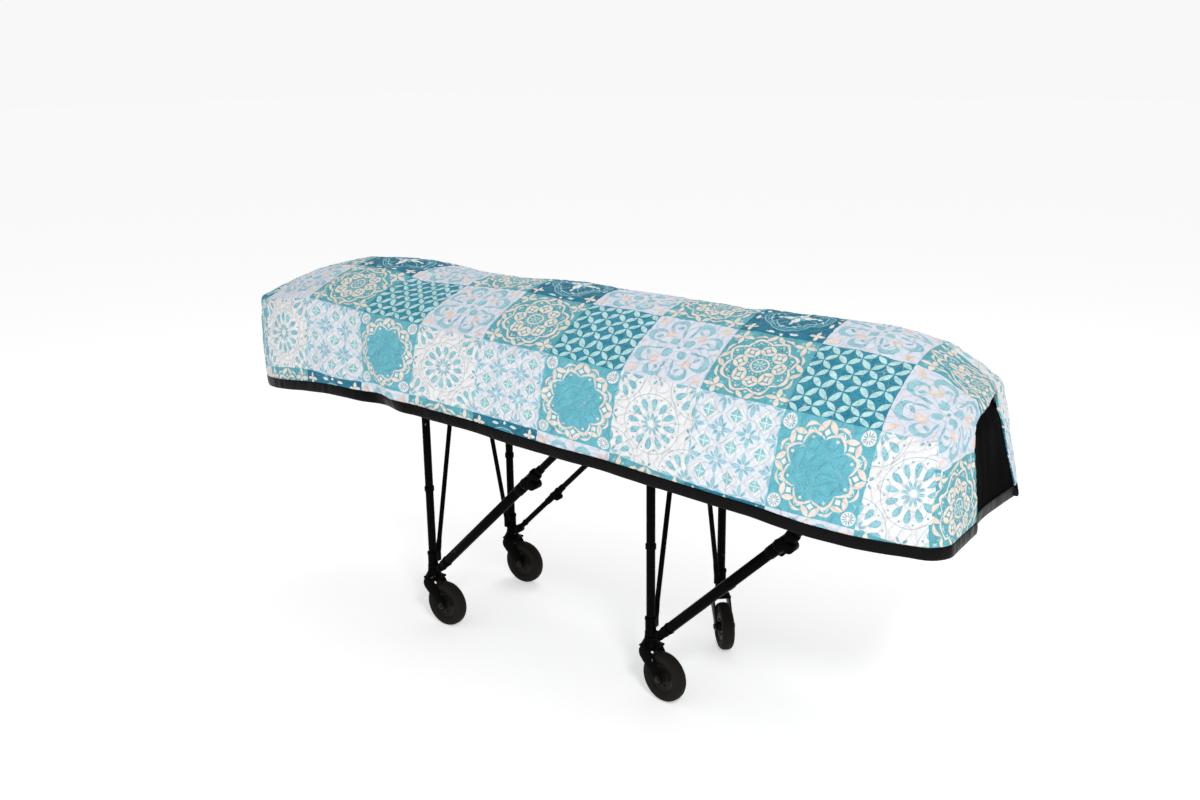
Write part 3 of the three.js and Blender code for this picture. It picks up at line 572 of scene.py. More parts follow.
def soften_cover(bm, flat):
    """Adds the creases, the pull of the binding and the quilting. Returns the quilting field at each vertex."""
    bm.normal_update()
    quilting = {}
    moves = {}
    for vert in bm.verts:
        place = flat[vert]
        u, v = cloth_place(place, place["panel"])
        field = quilt_value(u, v)
        quilting[vert] = field
        held = 1 - smooth(0.82, 0.92, place["drop"])
        gather = 1.8 * noise.noise(Vector(((u + v) / 26, place["drop"] * 3, 1.3))) * smooth(0.55, 0.85, place["drop"])
        broad = 4 * noise.noise(vert.co / 130) + 3.4 * noise.noise(vert.co / 48)
        stitch = QUILT["depth"] * bell(field / QUILT["groove"])
        moves[vert] = vert.normal * ((broad + gather - crease_depth(vert.co) - stitch) * held)
    for vert, move in moves.items():
        vert.co += move
    return quilting


def finish_piece(name, bm, materials, body, replaces=(), scale=MM, smooth_faces=True):
    """Turns a bmesh into an object that rides on its body and stands for the nodes that it replaces."""
    bmesh.ops.scale(bm, verts=bm.verts, vec=(scale, scale, scale))
    for face in bm.faces:
        face.smooth = smooth_faces
    mesh = bpy.data.meshes.new(name)
    bm.to_mesh(mesh)
    bm.free()
    for material in materials:
        mesh.materials.append(material)
    piece = bpy.data.objects.new(name, mesh)
    bpy.context.scene.collection.objects.link(piece)
    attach(piece, body)
    if replaces:
        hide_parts(*replaces)
    return piece


def make_cover(material):
    bm, flat = build_cover()
    quilting = soften_cover(bm, flat)
    uv = bm.loops.layers.uv["print"]
    quilt = bm.verts.layers.float["quilt"]
    for vert in bm.verts:
        vert[quilt] = quilting[vert]
    for face in bm.faces:
        panels = [flat[v]["panel"] for v in face.verts]
        on_wall = any(flat[v]["down"] > 0 for v in face.verts)
        panel = panels[0] if on_wall else "top"
        if on_wall and len(set(panels)) > 1:
            panel = next(p for p in ("end", "head", "near", "far") if p in panels)
        if on_wall and all(in_seam(flat[v]) for v in face.verts):
            panel = "end"
        for loop in face.loops:
            u, v = cloth_place(flat[loop.vert], panel)
            loop[uv].uv = ((u - FIRST_COLUMN_X) / SQUARE, v / SQUARE)
    turn_in_edges(bm)
    cover = finish_piece("quilted_cover_cloth", bm, [material], "cot", ["quilted_cover"])
    return cover


def in_seam(place):
    """Whether a vertex of the side wall lies past the seam of the square end's print."""
    corner = end_x(place["side"] * SQUARE_END["side_y"])
    in_reach = corner - place["u"] < mix(*SEAM_REACH, place["drop"])
    return place["kind"] in ("flap", "slot", "corner") or place["kind"] == "side" and in_reach


def turn_in_edges(bm):
    """Turns the cloth's free edges beside and over the gusset back behind it, as a sewn edge does."""
    edges = [e for e in bm.edges if e.is_boundary and sum(v.co.x for v in e.verts) / 2 > SPINE_RIGHT]
    edges = [e for e in edges if not all(v.co.z < hem_height(v.co.x) + 4 for v in e.verts)]
    made = bmesh.ops.extrude_edge_only(bm, edges=edges)["geom"]
    for vert in made:
        if isinstance(vert, bmesh.types.BMVert):
            vert.co += Vector((-4.5, 0, 0))


# The gusset and the binding
def hem_height(x):
    return station(x, "hem_z")


def gusset_point(share, drop, offset, lap=0.0):
    """A point of the gusset: share is 0 at the near flap's edge and 1 at the far flap's."""
    y = mix(slot_edge(-1, drop), slot_edge(1, drop), share) + lap
    x = end_x(y, drop)
    z = mix(shoulder_height(x, y, 1), hem_height(x), drop)
    fold = GUSSET["recess"] * drop ** GUSSET["growth"] * math.sin(math.pi * share ** GUSSET["lean"])
    return Vector((x + offset - fold, y, z))


def make_gusset(material):
    """The vinyl wedge in the slot: a grid laid behind both flaps, with soft upright folds, given its thickness."""
    bm = bmesh.new()
    across, down = GUSSET_GRID
    bmesh.ops.create_grid(bm, x_segments=across, y_segments=down, size=0.5)
    front = -CLOTH - GUSSET["behind"]
    for vert in bm.verts:
        i, j = round((vert.co.x + 0.5) * across), round((vert.co.y + 0.5) * down)
        drop = mix(0.02, 0.985, 1 - j / down)
        place = mix(-0.06, 1.06, i / across)
        lap = GUSSET["lap"] * (min(0, place) + max(0, place - 1)) / 0.06 * (1 - smooth(0.88, 0.9, drop))
        tuck = GUSSET["tuck"] * (1 - smooth(0.08, 0.32, drop))
        share = min(1, max(0, place))
        vert.co = gusset_point(share, drop, front - tuck, lap)
        inside = math.sin(math.pi * share)
        folds = 3.2 * noise.noise(Vector((place * 5, drop * 1.3, 4))) + 1.2 * noise.noise(Vector((place * 14, drop * 5, 8)))
        vert.co.x += folds * inside * smooth(0, 0.25, drop) * (1 - smooth(0.84, 0.9, drop)) - 1.5 * inside
    bmesh.ops.recalc_face_normals(bm, faces=bm.faces)
    if sum(face.normal.x for face in bm.faces) < 0:
        bmesh.ops.reverse_faces(bm, faces=bm.faces)
    bmesh.ops.solidify(bm, geom=bm.faces, thickness=VINYL)
    gusset = finish_piece("end_gusset_vinyl", bm, [material], "cot", ["end_gusset"])


def hem_columns():
    """The columns round the hem in order, near side first. Each is a function of how far up the wall it goes."""
    near = [grid_plan(i, 0)[2] for i in range(LAST_ALONG + 1)]
    end = [grid_plan(LAST_ALONG, j)[2] for j in range(1, LAST_ACROSS)]
    far = [grid_plan(i, LAST_ACROSS)[2] for i in range(LAST_ALONG, -1, -1)]
    head = [grid_plan(0, j)[2] for j in range(LAST_ACROSS - 1, 0, -1)]
    flaps = {side: [p for p in end if p[1] == side and p[0] != "slot"] for side in (-1, 1)}
    columns = [lambda drop, p=p: wall_point(p, drop) for p in near + flaps[-1]]
    front = -CLOTH - GUSSET["behind"]
    for k in range(1, GUSSET_COLUMNS):
        columns.append(lambda drop, s=k / GUSSET_COLUMNS: gusset_point(s, drop, front))
    columns += [lambda drop, p=p: wall_point(p, drop) for p in flaps[1] + far + head]
    return columns


def make_binding(material):
    """The vinyl tape folded over the hem: a grid as long as the hem, its rows set round the tape's section."""
    columns = hem_columns()
    bm = bmesh.new()
    rows = len(BINDING_SECTION)
    bmesh.ops.create_grid(bm, x_segments=len(columns), y_segments=rows - 1, size=0.5)
    ring = [column(1.0) for column in columns]
    for vert in bm.verts:
        i = round((vert.co.x + 0.5) * len(columns)) % len(columns)
        j = round((vert.co.y + 0.5) * (rows - 1))
        out, height = BINDING_SECTION[j]
        before, after = ring[i - 3], ring[(i + 3) % len(ring)]
        run = after - before
        outwards = Vector((run.y, -run.x, 0)).normalized()
        foot = ring[i]
        up = (columns[i](0.9) - foot).normalized()
        around = Vector((foot.x, foot.y, 0))
        pucker = noise.noise(around / 16 + Vector((0, 0, height / 30))) + 0.6 * noise.noise(around / 7)
        slack = BINDING["pucker"] * pucker * smooth(-4, 8, height) * (1 - 0.6 * smooth(18, 26, height))
        sag = 1.3 * noise.noise(around / 60 + Vector((0, 0, 7))) * (1 if height < 12 else 0.3)
        vert.co = foot + outwards * (out + slack * (1 if out > 0 else 0.3)) + up * (height + sag)
    bmesh.ops.remove_doubles(bm, verts=bm.verts, dist=0.01)
    bmesh.ops.recalc_face_normals(bm, faces=bm.faces)
    if bm.calc_volume(signed=True) < 0:
        bmesh.ops.reverse_faces(bm, faces=bm.faces)
    uv = bm.loops.layers.uv.new("along")
    binding = finish_piece("hem_binding_tape", bm, [material], "cot", ["hem_binding"])


# The mattress
def make_mattress(material):
    """One crowned pad under the cover, drawn in from it on all sides, with its foot flat on the deck."""
    bm = bmesh.new()
    along, across = MATTRESS["cells"]
    bmesh.ops.create_grid(bm, x_segments=along, y_segments=across, size=0.5)
    inner = MATTRESS["reach"]
    for vert in bm.verts:
        i, j = round((vert.co.x + 0.5) * along), round((vert.co.y + 0.5) * across)
        x, y, _ = grid_plan(round(i * LAST_ALONG / along), round(j * LAST_ACROSS / across))
        if x < SPINE_LEFT:
            x = mix(SPINE_LEFT, x, inner)
        if x > SPINE_RIGHT:
            x = mix(SPINE_RIGHT, x, inner)
        vert.co = top_point(x, y * inner)
        vert.co.z -= CLOTH + MATTRESS["clear"]
    ring = [e for e in bm.edges if e.is_boundary]
    for drop in MATTRESS["side_rows"]:
        made = bmesh.ops.extrude_edge_only(bm, edges=ring)["geom"]
        verts = [v for v in made if isinstance(v, bmesh.types.BMVert)]
        bulge = 1 + 0.012 * math.sin(math.pi * drop)
        for vert in verts:
            vert.co.z = mix(vert.co.z, MATTRESS["bottom"] + 0.4, drop)
            vert.co.y *= bulge
        ring = [e for e in made if isinstance(e, bmesh.types.BMEdge) and e.is_boundary]
    bmesh.ops.holes_fill(bm, edges=ring, sides=0)
    bmesh.ops.recalc_face_normals(bm, faces=bm.faces)
    mattress = finish_piece("mattress_pad", bm, [material], "cot", ["mattress"])


# Small shapes
def add_rod(bm, start, end, radius, end_radius=None, sides=24, rim=0.8):
    """A round bar between two points, its rims rounded."""
    start, end = Vector(start), Vector(end)
    along = end - start
    place = Matrix.Translation((start + end) / 2) @ along.to_track_quat("Z", "Y").to_matrix().to_4x4()
    tip = radius if end_radius is None else end_radius
    made = bmesh.ops.create_cone(
        bm, cap_ends=True, segments=sides, radius1=radius, radius2=tip, depth=along.length, matrix=place,
    )
    round_rims(bm, made["verts"], rim, sides)


def round_rims(bm, verts, rim, sides):
    if rim:
        edges = {e for v in verts for e in v.link_edges if any(len(f.verts) == sides for f in e.link_faces)}
        bmesh.ops.bevel(
            bm, geom=list(edges), offset=rim, offset_type="OFFSET", affect="EDGES", segments=2, profile=0.5, material=-1,
        )


def add_block(bm, low, high, rim=1.0, turn=None):
    """A box between two corners, its edges rounded, turned by a matrix if one is given."""
    low, high = Vector(low), Vector(high)
    place = Matrix.Translation((low + high) / 2) @ Matrix.Diagonal((*(high - low), 1))
    verts = bmesh.ops.create_cube(bm, size=1, matrix=place)["verts"]
    if turn:
        bmesh.ops.transform(bm, matrix=turn, verts=verts)
    edges = list({e for v in verts for e in v.link_edges})
    bmesh.ops.bevel(
        bm, geom=edges, offset=rim, offset_type="OFFSET", affect="EDGES", segments=2, profile=0.5, material=-1,
    )


def add_lathe(bm, section, place, steps=48, closed=False):
    """Spins a section of (radius, height) rows round Z, then puts it in its place."""
    before = set(bm.verts)
    verts = [bm.verts.new((radius, 0, height)) for radius, height in section]
    edges = [bm.edges.new(pair) for pair in zip(verts, verts[1:] + (verts[:1] if closed else []))]
    bmesh.ops.spin(
        bm, geom=verts + edges, axis=(0, 0, 1), cent=(0, 0, 0), angle=2 * math.pi, steps=steps, use_merge=True,
    )
    made = [v for v in bm.verts if v not in before]
    bmesh.ops.remove_doubles(bm, verts=made, dist=0.001)
    made = [v for v in bm.verts if v not in before]
    bmesh.ops.recalc_face_normals(bm, faces=list({f for v in made for f in v.link_faces}))
    bmesh.ops.transform(bm, matrix=place, verts=made)


def add_plate(bm, outline, low_y, high_y, rim=0.6):
    """A flat plate from its outline in X and Z, extruded along Y, its edges rounded."""
    verts = [bm.verts.new((x, low_y, z)) for x, z in outline]
    face = bm.faces.new(verts)
    made = bmesh.ops.extrude_face_region(bm, geom=[face])["geom"]
    top = [v for v in made if isinstance(v, bmesh.types.BMVert)]
    bmesh.ops.translate(bm, verts=top, vec=(0, high_y - low_y, 0))
    faces = list({f for v in verts + top for f in v.link_faces})
    bmesh.ops.recalc_face_normals(bm, faces=faces)
    edges = list({e for f in faces if len(f.verts) > 4 for e in f.edges})
    bmesh.ops.bevel(
        bm, geom=edges, offset=rim, offset_type="OFFSET", affect="EDGES", segments=2, profile=0.5, material=-1,
    )


def on_y(x, y, z):
    """Stands a lathed shape's axis along Y at a point."""
    return Matrix.Translation((x, y, z)) @ Matrix.Rotation(-math.pi / 2, 4, "X")


# The cot's frame
def make_bed_frame(paint):
    """Side rails, end rails and cross tubes, all under the cover."""
    deck_bottom = DECK["top"] - DECK["thick"]
    top = deck_bottom - GAP
    bottom = top - RAIL["height"]
    inside = RAIL["y"] - RAIL["width"] / 2
    for name, low_y in (("near", -inside - RAIL["width"]), ("far", inside)):
        bm = bmesh.new()
        add_block(bm, (DECK["left"], low_y, bottom), (DECK["right"], low_y + RAIL["width"], top), rim=2)
        paint_piece(f"side_rail_{name}_tube", bm, paint, f"side_rail_{name}")
    for name, low_x in (("head", DECK["left"]), ("foot", DECK["right"] - RAIL["width"])):
        bm = bmesh.new()
        y = inside - GAP
        add_block(bm, (low_x, -y, bottom), (low_x + RAIL["width"], y, top), rim=2)
        paint_piece(f"end_rail_{name}_tube", bm, paint, f"end_rail_{name}")
    for name, leg_x in (("head", LEG["head_x"]), ("foot", LEG["foot_x"])):
        for kind, x in (("leg", leg_x), ("brace", brace_top(leg_x))):
            bm = bmesh.new()
            y = inside - GAP
            add_rod(bm, (x, -y, CROSS["z"]), (x, y, CROSS["z"]), CROSS["radius"], sides=32)
            for side in (-1, 1):
                add_rod(bm, (x, side * (y - 14), CROSS["z"]), (x, side * y, CROSS["z"]), CROSS["radius"] + 2, sides=32)
            paint_piece(f"{name}_{kind}_cross_bar", bm, paint, f"{name}_{kind}_cross_tube")


def brace_top(leg_x):
    return leg_x + KNUCKLE["reach"] + (CROSS["z"] - KNUCKLE["z"]) * DIAGONAL["run"] / DIAGONAL["rise"]


def paint_piece(name, bm, paint, node, body="cot"):
    piece = finish_piece(name, bm, [paint], body, [node])
    smooth_by_angle(piece)
    return piece


def smooth_by_angle(piece, degrees=35):
    """Keeps the sharp edges of a hard piece sharp."""
    for edge in piece.data.edges:
        edge.use_edge_sharp = False
    bm = bmesh.new()
    bm.from_mesh(piece.data)
    for edge in bm.edges:
        edge.smooth = edge.calc_face_angle(0) < math.radians(degrees)
    bm.to_mesh(piece.data)
    bm.free()


def make_leg(name, x, side, paint):
    y = side * LEG["y"]
    top = CROSS["z"] - CROSS["radius"] - GAP
    bm = bmesh.new()
    add_rod(bm, (x, y, LEG["bottom"]), (x, y, top), LEG["radius"], sides=32)
    for z in LEG["collars"]:
        add_rod(bm, (x, y, z - 7), (x, y, z + 7), LEG["radius"] + 2.4, sides=32, rim=1.6)
    for z in LEG["rivets"]:
        add_rod(bm, (x, y - LEG["radius"] - 2, z), (x, y + LEG["radius"] + 2, z), 3.2, sides=12)
    paint_piece(f"leg_{name}_tube", bm, paint, f"leg_{name}")

    low = Vector((x, side * V_BRACE["low_y"], V_BRACE["low_z"]))
    high = Vector((x, side * V_BRACE["high_y"], CROSS["z"]))
    inward = (high - low).normalized()
    below = (CROSS["radius"] + GAP + V_BRACE["radius"] * abs(inward.y)) / inward.z
    bm = bmesh.new()
    start, end = low + inward * (V_BRACE["stub"] + GAP), high - inward * below
    add_rod(bm, start, end, V_BRACE["radius"], sides=20)
    add_rod(bm, start, start + inward * 22, V_BRACE["radius"] + 1.6, V_BRACE["radius"] + 0.4, sides=20)
    paint_piece(f"v_brace_{name}_rod", bm, paint, f"v_brace_{name}")

    bm = bmesh.new()
    bore = LEG["radius"] + GAP
    outer = SLEEVE["radius"]
    low_z, high_z = SLEEVE["bottom"], SLEEVE["top"]
    wall = [(bore, low_z), (outer - 1, low_z), (outer, low_z + 1), (outer, low_z + 9), (outer - 1.2, low_z + 10.5)]
    wall += [(outer - 1.2, high_z - 8), (outer, high_z - 6.5), (outer, high_z - 1), (outer - 1, high_z), (bore, high_z)]
    add_lathe(bm, wall, Matrix.Translation((x, y, 0)), steps=40, closed=True)
    reach_x = x + KNUCKLE["reach"]
    half = KNUCKLE["width"] / 2
    add_rod(bm, (reach_x, y - half, KNUCKLE["z"]), (reach_x, y + half, KNUCKLE["z"]), KNUCKLE["radius"], sides=32, rim=1.2)
    for end in (-1, 1):
        tip = y + end * (half + 1.8)
        add_rod(bm, (reach_x, y + end * (half - 1), KNUCKLE["z"]), (reach_x, tip, KNUCKLE["z"]), 5.6, sides=6, rim=0.7)
    arm_low = (x + LEG["radius"] + 1, y - half / 2, KNUCKLE["z"] - KNUCKLE["radius"] / 2)
    add_block(bm, arm_low, (reach_x, y + half / 2, KNUCKLE["z"] + KNUCKLE["radius"] / 2))
    lug = sorted((side * LUG["inner_y"], side * (LEG["y"] - LEG["radius"] - 1)))
    add_block(bm, (x - LUG["half_width"], lug[0], high_z - LUG["height"]), (x + LUG["half_width"], lug[1], high_z))
    add_rod(bm, low - inward * V_BRACE["root"], low + inward * V_BRACE["stub"], V_BRACE["stub_radius"], sides=20)
    paint_piece(f"sleeve_{name}_socket", bm, paint, f"sleeve_{name}")


def make_brace(name, x, side, paint):
    """The folding brace: a lower and an upper bar, with the lock between them."""
    size = NEAR_BRACE if side < 0 else FAR_BRACE
    pivot = Vector((x + KNUCKLE["reach"], side * LEG["y"], KNUCKLE["z"]))
    along = Vector((DIAGONAL["run"], 0, DIAGONAL["rise"])).normalized()
    length = (CROSS["z"] - KNUCKLE["z"]) / along.z
    housing_end = size["joint"] + size["housing"]

    bm = bmesh.new()
    start, end = pivot + along * (KNUCKLE["radius"] + GAP), pivot + along * (size["joint"] - GAP)
    add_rod(bm, start, end, size["lower"], sides=32)
    add_rod(bm, start, start + along * 24, size["lower"] - 2, size["lower"] + 1.8, sides=32)
    add_rod(bm, end - along * 26, end, size["lower"] + 1.8, sides=32, rim=1.4)
    paint_piece(f"brace_lower_{name}_bar", bm, paint, f"brace_lower_{name}")

    bm = bmesh.new()
    start, end = pivot + along * (housing_end + GAP), pivot + along * (length - CROSS["radius"] - GAP)
    add_rod(bm, start, end, size["upper"], sides=32)
    add_rod(bm, start, start + along * 18, size["upper"] + 1.8, sides=32, rim=1.4)
    paint_piece(f"brace_upper_{name}_bar", bm, paint, f"brace_upper_{name}")

    bm = bmesh.new()
    radius = size["housing_radius"]
    span = size["housing"]
    section = [(0, 0), (radius * 0.8, 0), (radius * 0.94, span * 0.06), (radius, span * 0.16), (radius * 0.9, span * 0.3)]
    section += [(radius * 0.86, span * 0.62), (radius, span * 0.78), (radius * 0.94, span * 0.94), (radius * 0.8, span), (0, span)]
    base = Matrix.Translation(pivot + along * size["joint"]) @ along.to_track_quat("Z", "Y").to_matrix().to_4x4()
    add_lathe(bm, section, base, steps=32)
    middle = pivot + along * (size["joint"] + span / 2)
    knob = middle + Vector((radius, 0, -radius)) * KNOB["offset"]
    add_rod(bm, knob - Vector((0, radius, 0)), knob + Vector((0, radius, 0)), radius * KNOB["radius"], sides=28, rim=2)
    pin = middle - Vector((radius, 0, -radius)) * 0.3
    add_rod(bm, pin - Vector((0, radius + 1, 0)), pin + Vector((0, radius + 1, 0)), 3.4, sides=12)
    paint_piece(f"brace_lock_{name}_housing", bm, paint, f"brace_lock_{name}")


# The casters
def make_caster(name, x, side, turn, finishes):
    place = Matrix.Translation((x, side * LEG["y"], 0)) @ Matrix.Rotation(math.radians(turn), 4, "Z")
    axle_z = TYRE["radius"] + 0.1
    trail = FORK["trail"]
    caster, wheel = f"caster_{name}", f"wheel_{name}"

    bm = bmesh.new()
    add_lathe(bm, [(r, h + FORK["crown_bottom"]) for r, h in CROWN_SECTION], Matrix(), steps=40)
    outside = FORK["inside"] + FORK["plate"]
    roof_low = (-ROOF["back"], -outside, FORK["crown_bottom"] + 0.2)
    add_block(bm, roof_low, (ROOF["front"], outside, FORK["crown_bottom"] + ROOF["thick"]), rim=1.4)
    outline = cheek_outline(trail, axle_z)
    add_plate(bm, outline, -outside, -FORK["inside"])
    add_plate(bm, outline, FORK["inside"], outside)
    place_all(bm, place)
    paint_piece(f"fork_{name}_forging", bm, finishes["paint"], f"fork_{name}", caster)

    bm = bmesh.new()
    end = outside + GAP + AXLE["head_thick"]
    add_rod(bm, (trail, -end, axle_z), (trail, end, axle_z), AXLE["radius"], sides=20)
    for at in (-1, 1):
        head = (trail, at * (outside + GAP), axle_z)
        add_rod(bm, head, (trail, at * end, axle_z), AXLE["head_radius"], sides=6, rim=0.7)
        add_rod(bm, head, (trail, at * (outside + GAP + 1.4), axle_z), AXLE["head_radius"] + 1.6, sides=28, rim=0.4)
    place_all(bm, place)
    paint_piece(f"axle_{name}_bolt", bm, finishes["steel"], f"axle_{name}", caster)

    bm = bmesh.new()
    half = [(r, a) for r, a in TYRE["section"]]
    section = [(r, -a) for r, a in half] + [(r, a) for r, a in reversed(half)]
    add_lathe(bm, section, on_y(trail, 0, axle_z), steps=72, closed=True)
    place_all(bm, place)
    paint_piece(f"tyre_{name}_rubber", bm, finishes["rubber"], f"tyre_{name}", wheel)

    bm = bmesh.new()
    section = [(r, -a) for r, a in HUB_SECTION] + [(r, a) for r, a in reversed(HUB_SECTION)]
    add_lathe(bm, section, on_y(trail, 0, axle_z), steps=56, closed=True)
    for at in (-1, 1):
        for k in range(HUB_BOLTS["count"]):
            angle = 2 * math.pi * k / HUB_BOLTS["count"]
            spot = (trail + HUB_BOLTS["ring"] * math.cos(angle), 0, axle_z + HUB_BOLTS["ring"] * math.sin(angle))
            start = Vector(spot) + Vector((0, at * 9, 0))
            add_rod(bm, start, start + Vector((0, at * 3.4, 0)), HUB_BOLTS["radius"], sides=12, rim=0.5)
    place_all(bm, place)
    paint_piece(f"hub_{name}_disc", bm, finishes["hub"], f"hub_{name}", wheel)


def place_all(bm, place):
    bmesh.ops.transform(bm, matrix=place, verts=bm.verts)


def cheek_outline(trail, axle_z):
    """The outline round two circles, the top one beside the crown and the bottom one on the axle."""
    along_x, along_z = trail - CHEEK["x"], axle_z - CHEEK["z"]
    fall = math.atan2(along_z, along_x)
    spread = math.acos((CHEEK["radius"] - CHEEK["eye_radius"]) / math.hypot(along_x, along_z))
    outline = []
    for k in range(CHEEK["steps"] + 1):
        angle = mix(fall + spread, fall - spread + 2 * math.pi, k / CHEEK["steps"])
        outline.append((CHEEK["x"] + CHEEK["radius"] * math.cos(angle), CHEEK["z"] + CHEEK["radius"] * math.sin(angle)))
    for k in range(CHEEK["steps"] + 1):
        angle = mix(fall - spread, fall + spread, k / CHEEK["steps"])
        outline.append((trail + CHEEK["eye_radius"] * math.cos(angle), axle_z + CHEEK["eye_radius"] * math.sin(angle)))
    return outline


# Materials
def add_node(tree, kind, inputs=None, **settings):
    """Adds a node with its settings. An input is a plain value, or the socket that it is linked from."""
    node = tree.nodes.new(kind)
    for name, value in settings.items():
        setattr(node, name, value)
    for key, value in (inputs or {}).items():
        if isinstance(value, bpy.types.NodeSocket):
            tree.links.new(value, node.inputs[key])
        else:
            node.inputs[key].default_value = value
    return node


class Formulas:
    """Builds Math nodes from formulas, each step once. A result is a socket, or a number where nothing varies."""

    def __init__(self, tree, **known):
        self.tree = tree
        self.known = {"pi": math.pi, **known}
        self.made = {}

    def value(self, text, known=None):
        return self.walk(ast.parse(text).body[0].value, known or self.known)

    def define(self, fields):
        for name, text in fields.items():
            self.known[name] = self.value(text)

    def walk(self, part, known):
        if isinstance(part, ast.Constant):
            return part.value
        if isinstance(part, ast.Name):
            return known[part.id]
        if isinstance(part, ast.UnaryOp):
            return self.step("SUBTRACT", [0, self.walk(part.operand, known)])
        if isinstance(part, ast.BinOp):
            parts = [self.walk(part.left, known), self.walk(part.right, known)]
            if isinstance(part.op, ast.Pow):
                return self.step("MULTIPLY", [parts[0], parts[0]])
            return self.step(OPERATIONS[type(part.op)], parts)
        parts = [self.walk(argument, known) for argument in part.args]
        if part.func.id in SHAPES:
            names, text = SHAPES[part.func.id]
            return self.value(text, {**known, **dict(zip(names, parts))})
        return self.step(OPERATIONS[part.func.id], parts)

    def step(self, operation, parts):
        fixed = [p for p in parts if isinstance(p, (int, float))]
        if len(fixed) == len(parts) and operation in WORKED_OUT:
            return WORKED_OUT[operation](*parts)
        key = (operation, *[p if p in fixed else (p.node.name, p.identifier) for p in parts])
        if key not in self.made:
            node = add_node(self.tree, "ShaderNodeMath", dict(enumerate(parts)), operation=operation)
            self.made[key] = node.outputs[0]
        return self.made[key]


OPERATIONS = {
    ast.Add: "ADD", ast.Sub: "SUBTRACT", ast.Mult: "MULTIPLY", ast.Div: "DIVIDE",
    "abs": "ABSOLUTE", "sqrt": "SQRT", "sin": "SINE", "cos": "COSINE", "atan2": "ARCTAN2", "floor": "FLOOR",
    "fract": "FRACT", "mod": "FLOORED_MODULO", "pingpong": "PINGPONG", "wrap": "WRAP", "min": "MINIMUM",
    "max": "MAXIMUM", "over": "GREATER_THAN", "same": "COMPARE",
}
WORKED_OUT = {"ADD": operator.add, "SUBTRACT": operator.sub, "MULTIPLY": operator.mul, "DIVIDE": operator.truediv}
# The shapes that the motifs are drawn with. Each is over zero inside the shape.
SHAPES = {
    "far_from": (("a", "b"), "sqrt(a ** 2 + b ** 2)"),
    "leaf": (("along", "across", "half", "wide"), "wide * (1 - (along / half) ** 2) - abs(across)"),
    "line": (("distance", "wide"), "wide - abs(distance)"),
    "diamond": (("a", "b", "half"), "half - (abs(a) + abs(b))"),
    "disc": (("a", "b", "radius"), "radius - far_from(a, b)"),
}

# Places in a printed square: x and y run from -0.5 to 0.5, and the folds repeat a wedge eight times round
PRINT_FIELDS = {
    "ax": "abs(x)",
    "ay": "abs(y)",
    "r": "far_from(x, y)",
    "angle": "atan2(y, x)",
    "turn": "pingpong(angle, pi / 8)",
    "X": "r * cos(turn)",
    "Y": "r * sin(turn)",
    "X2": "r * cos(pi / 8 - turn)",
    "Y2": "r * sin(pi / 8 - turn)",
    "edge_a": "max(ax, ay) - 0.5",
    "edge_b": "min(ax, ay)",
}
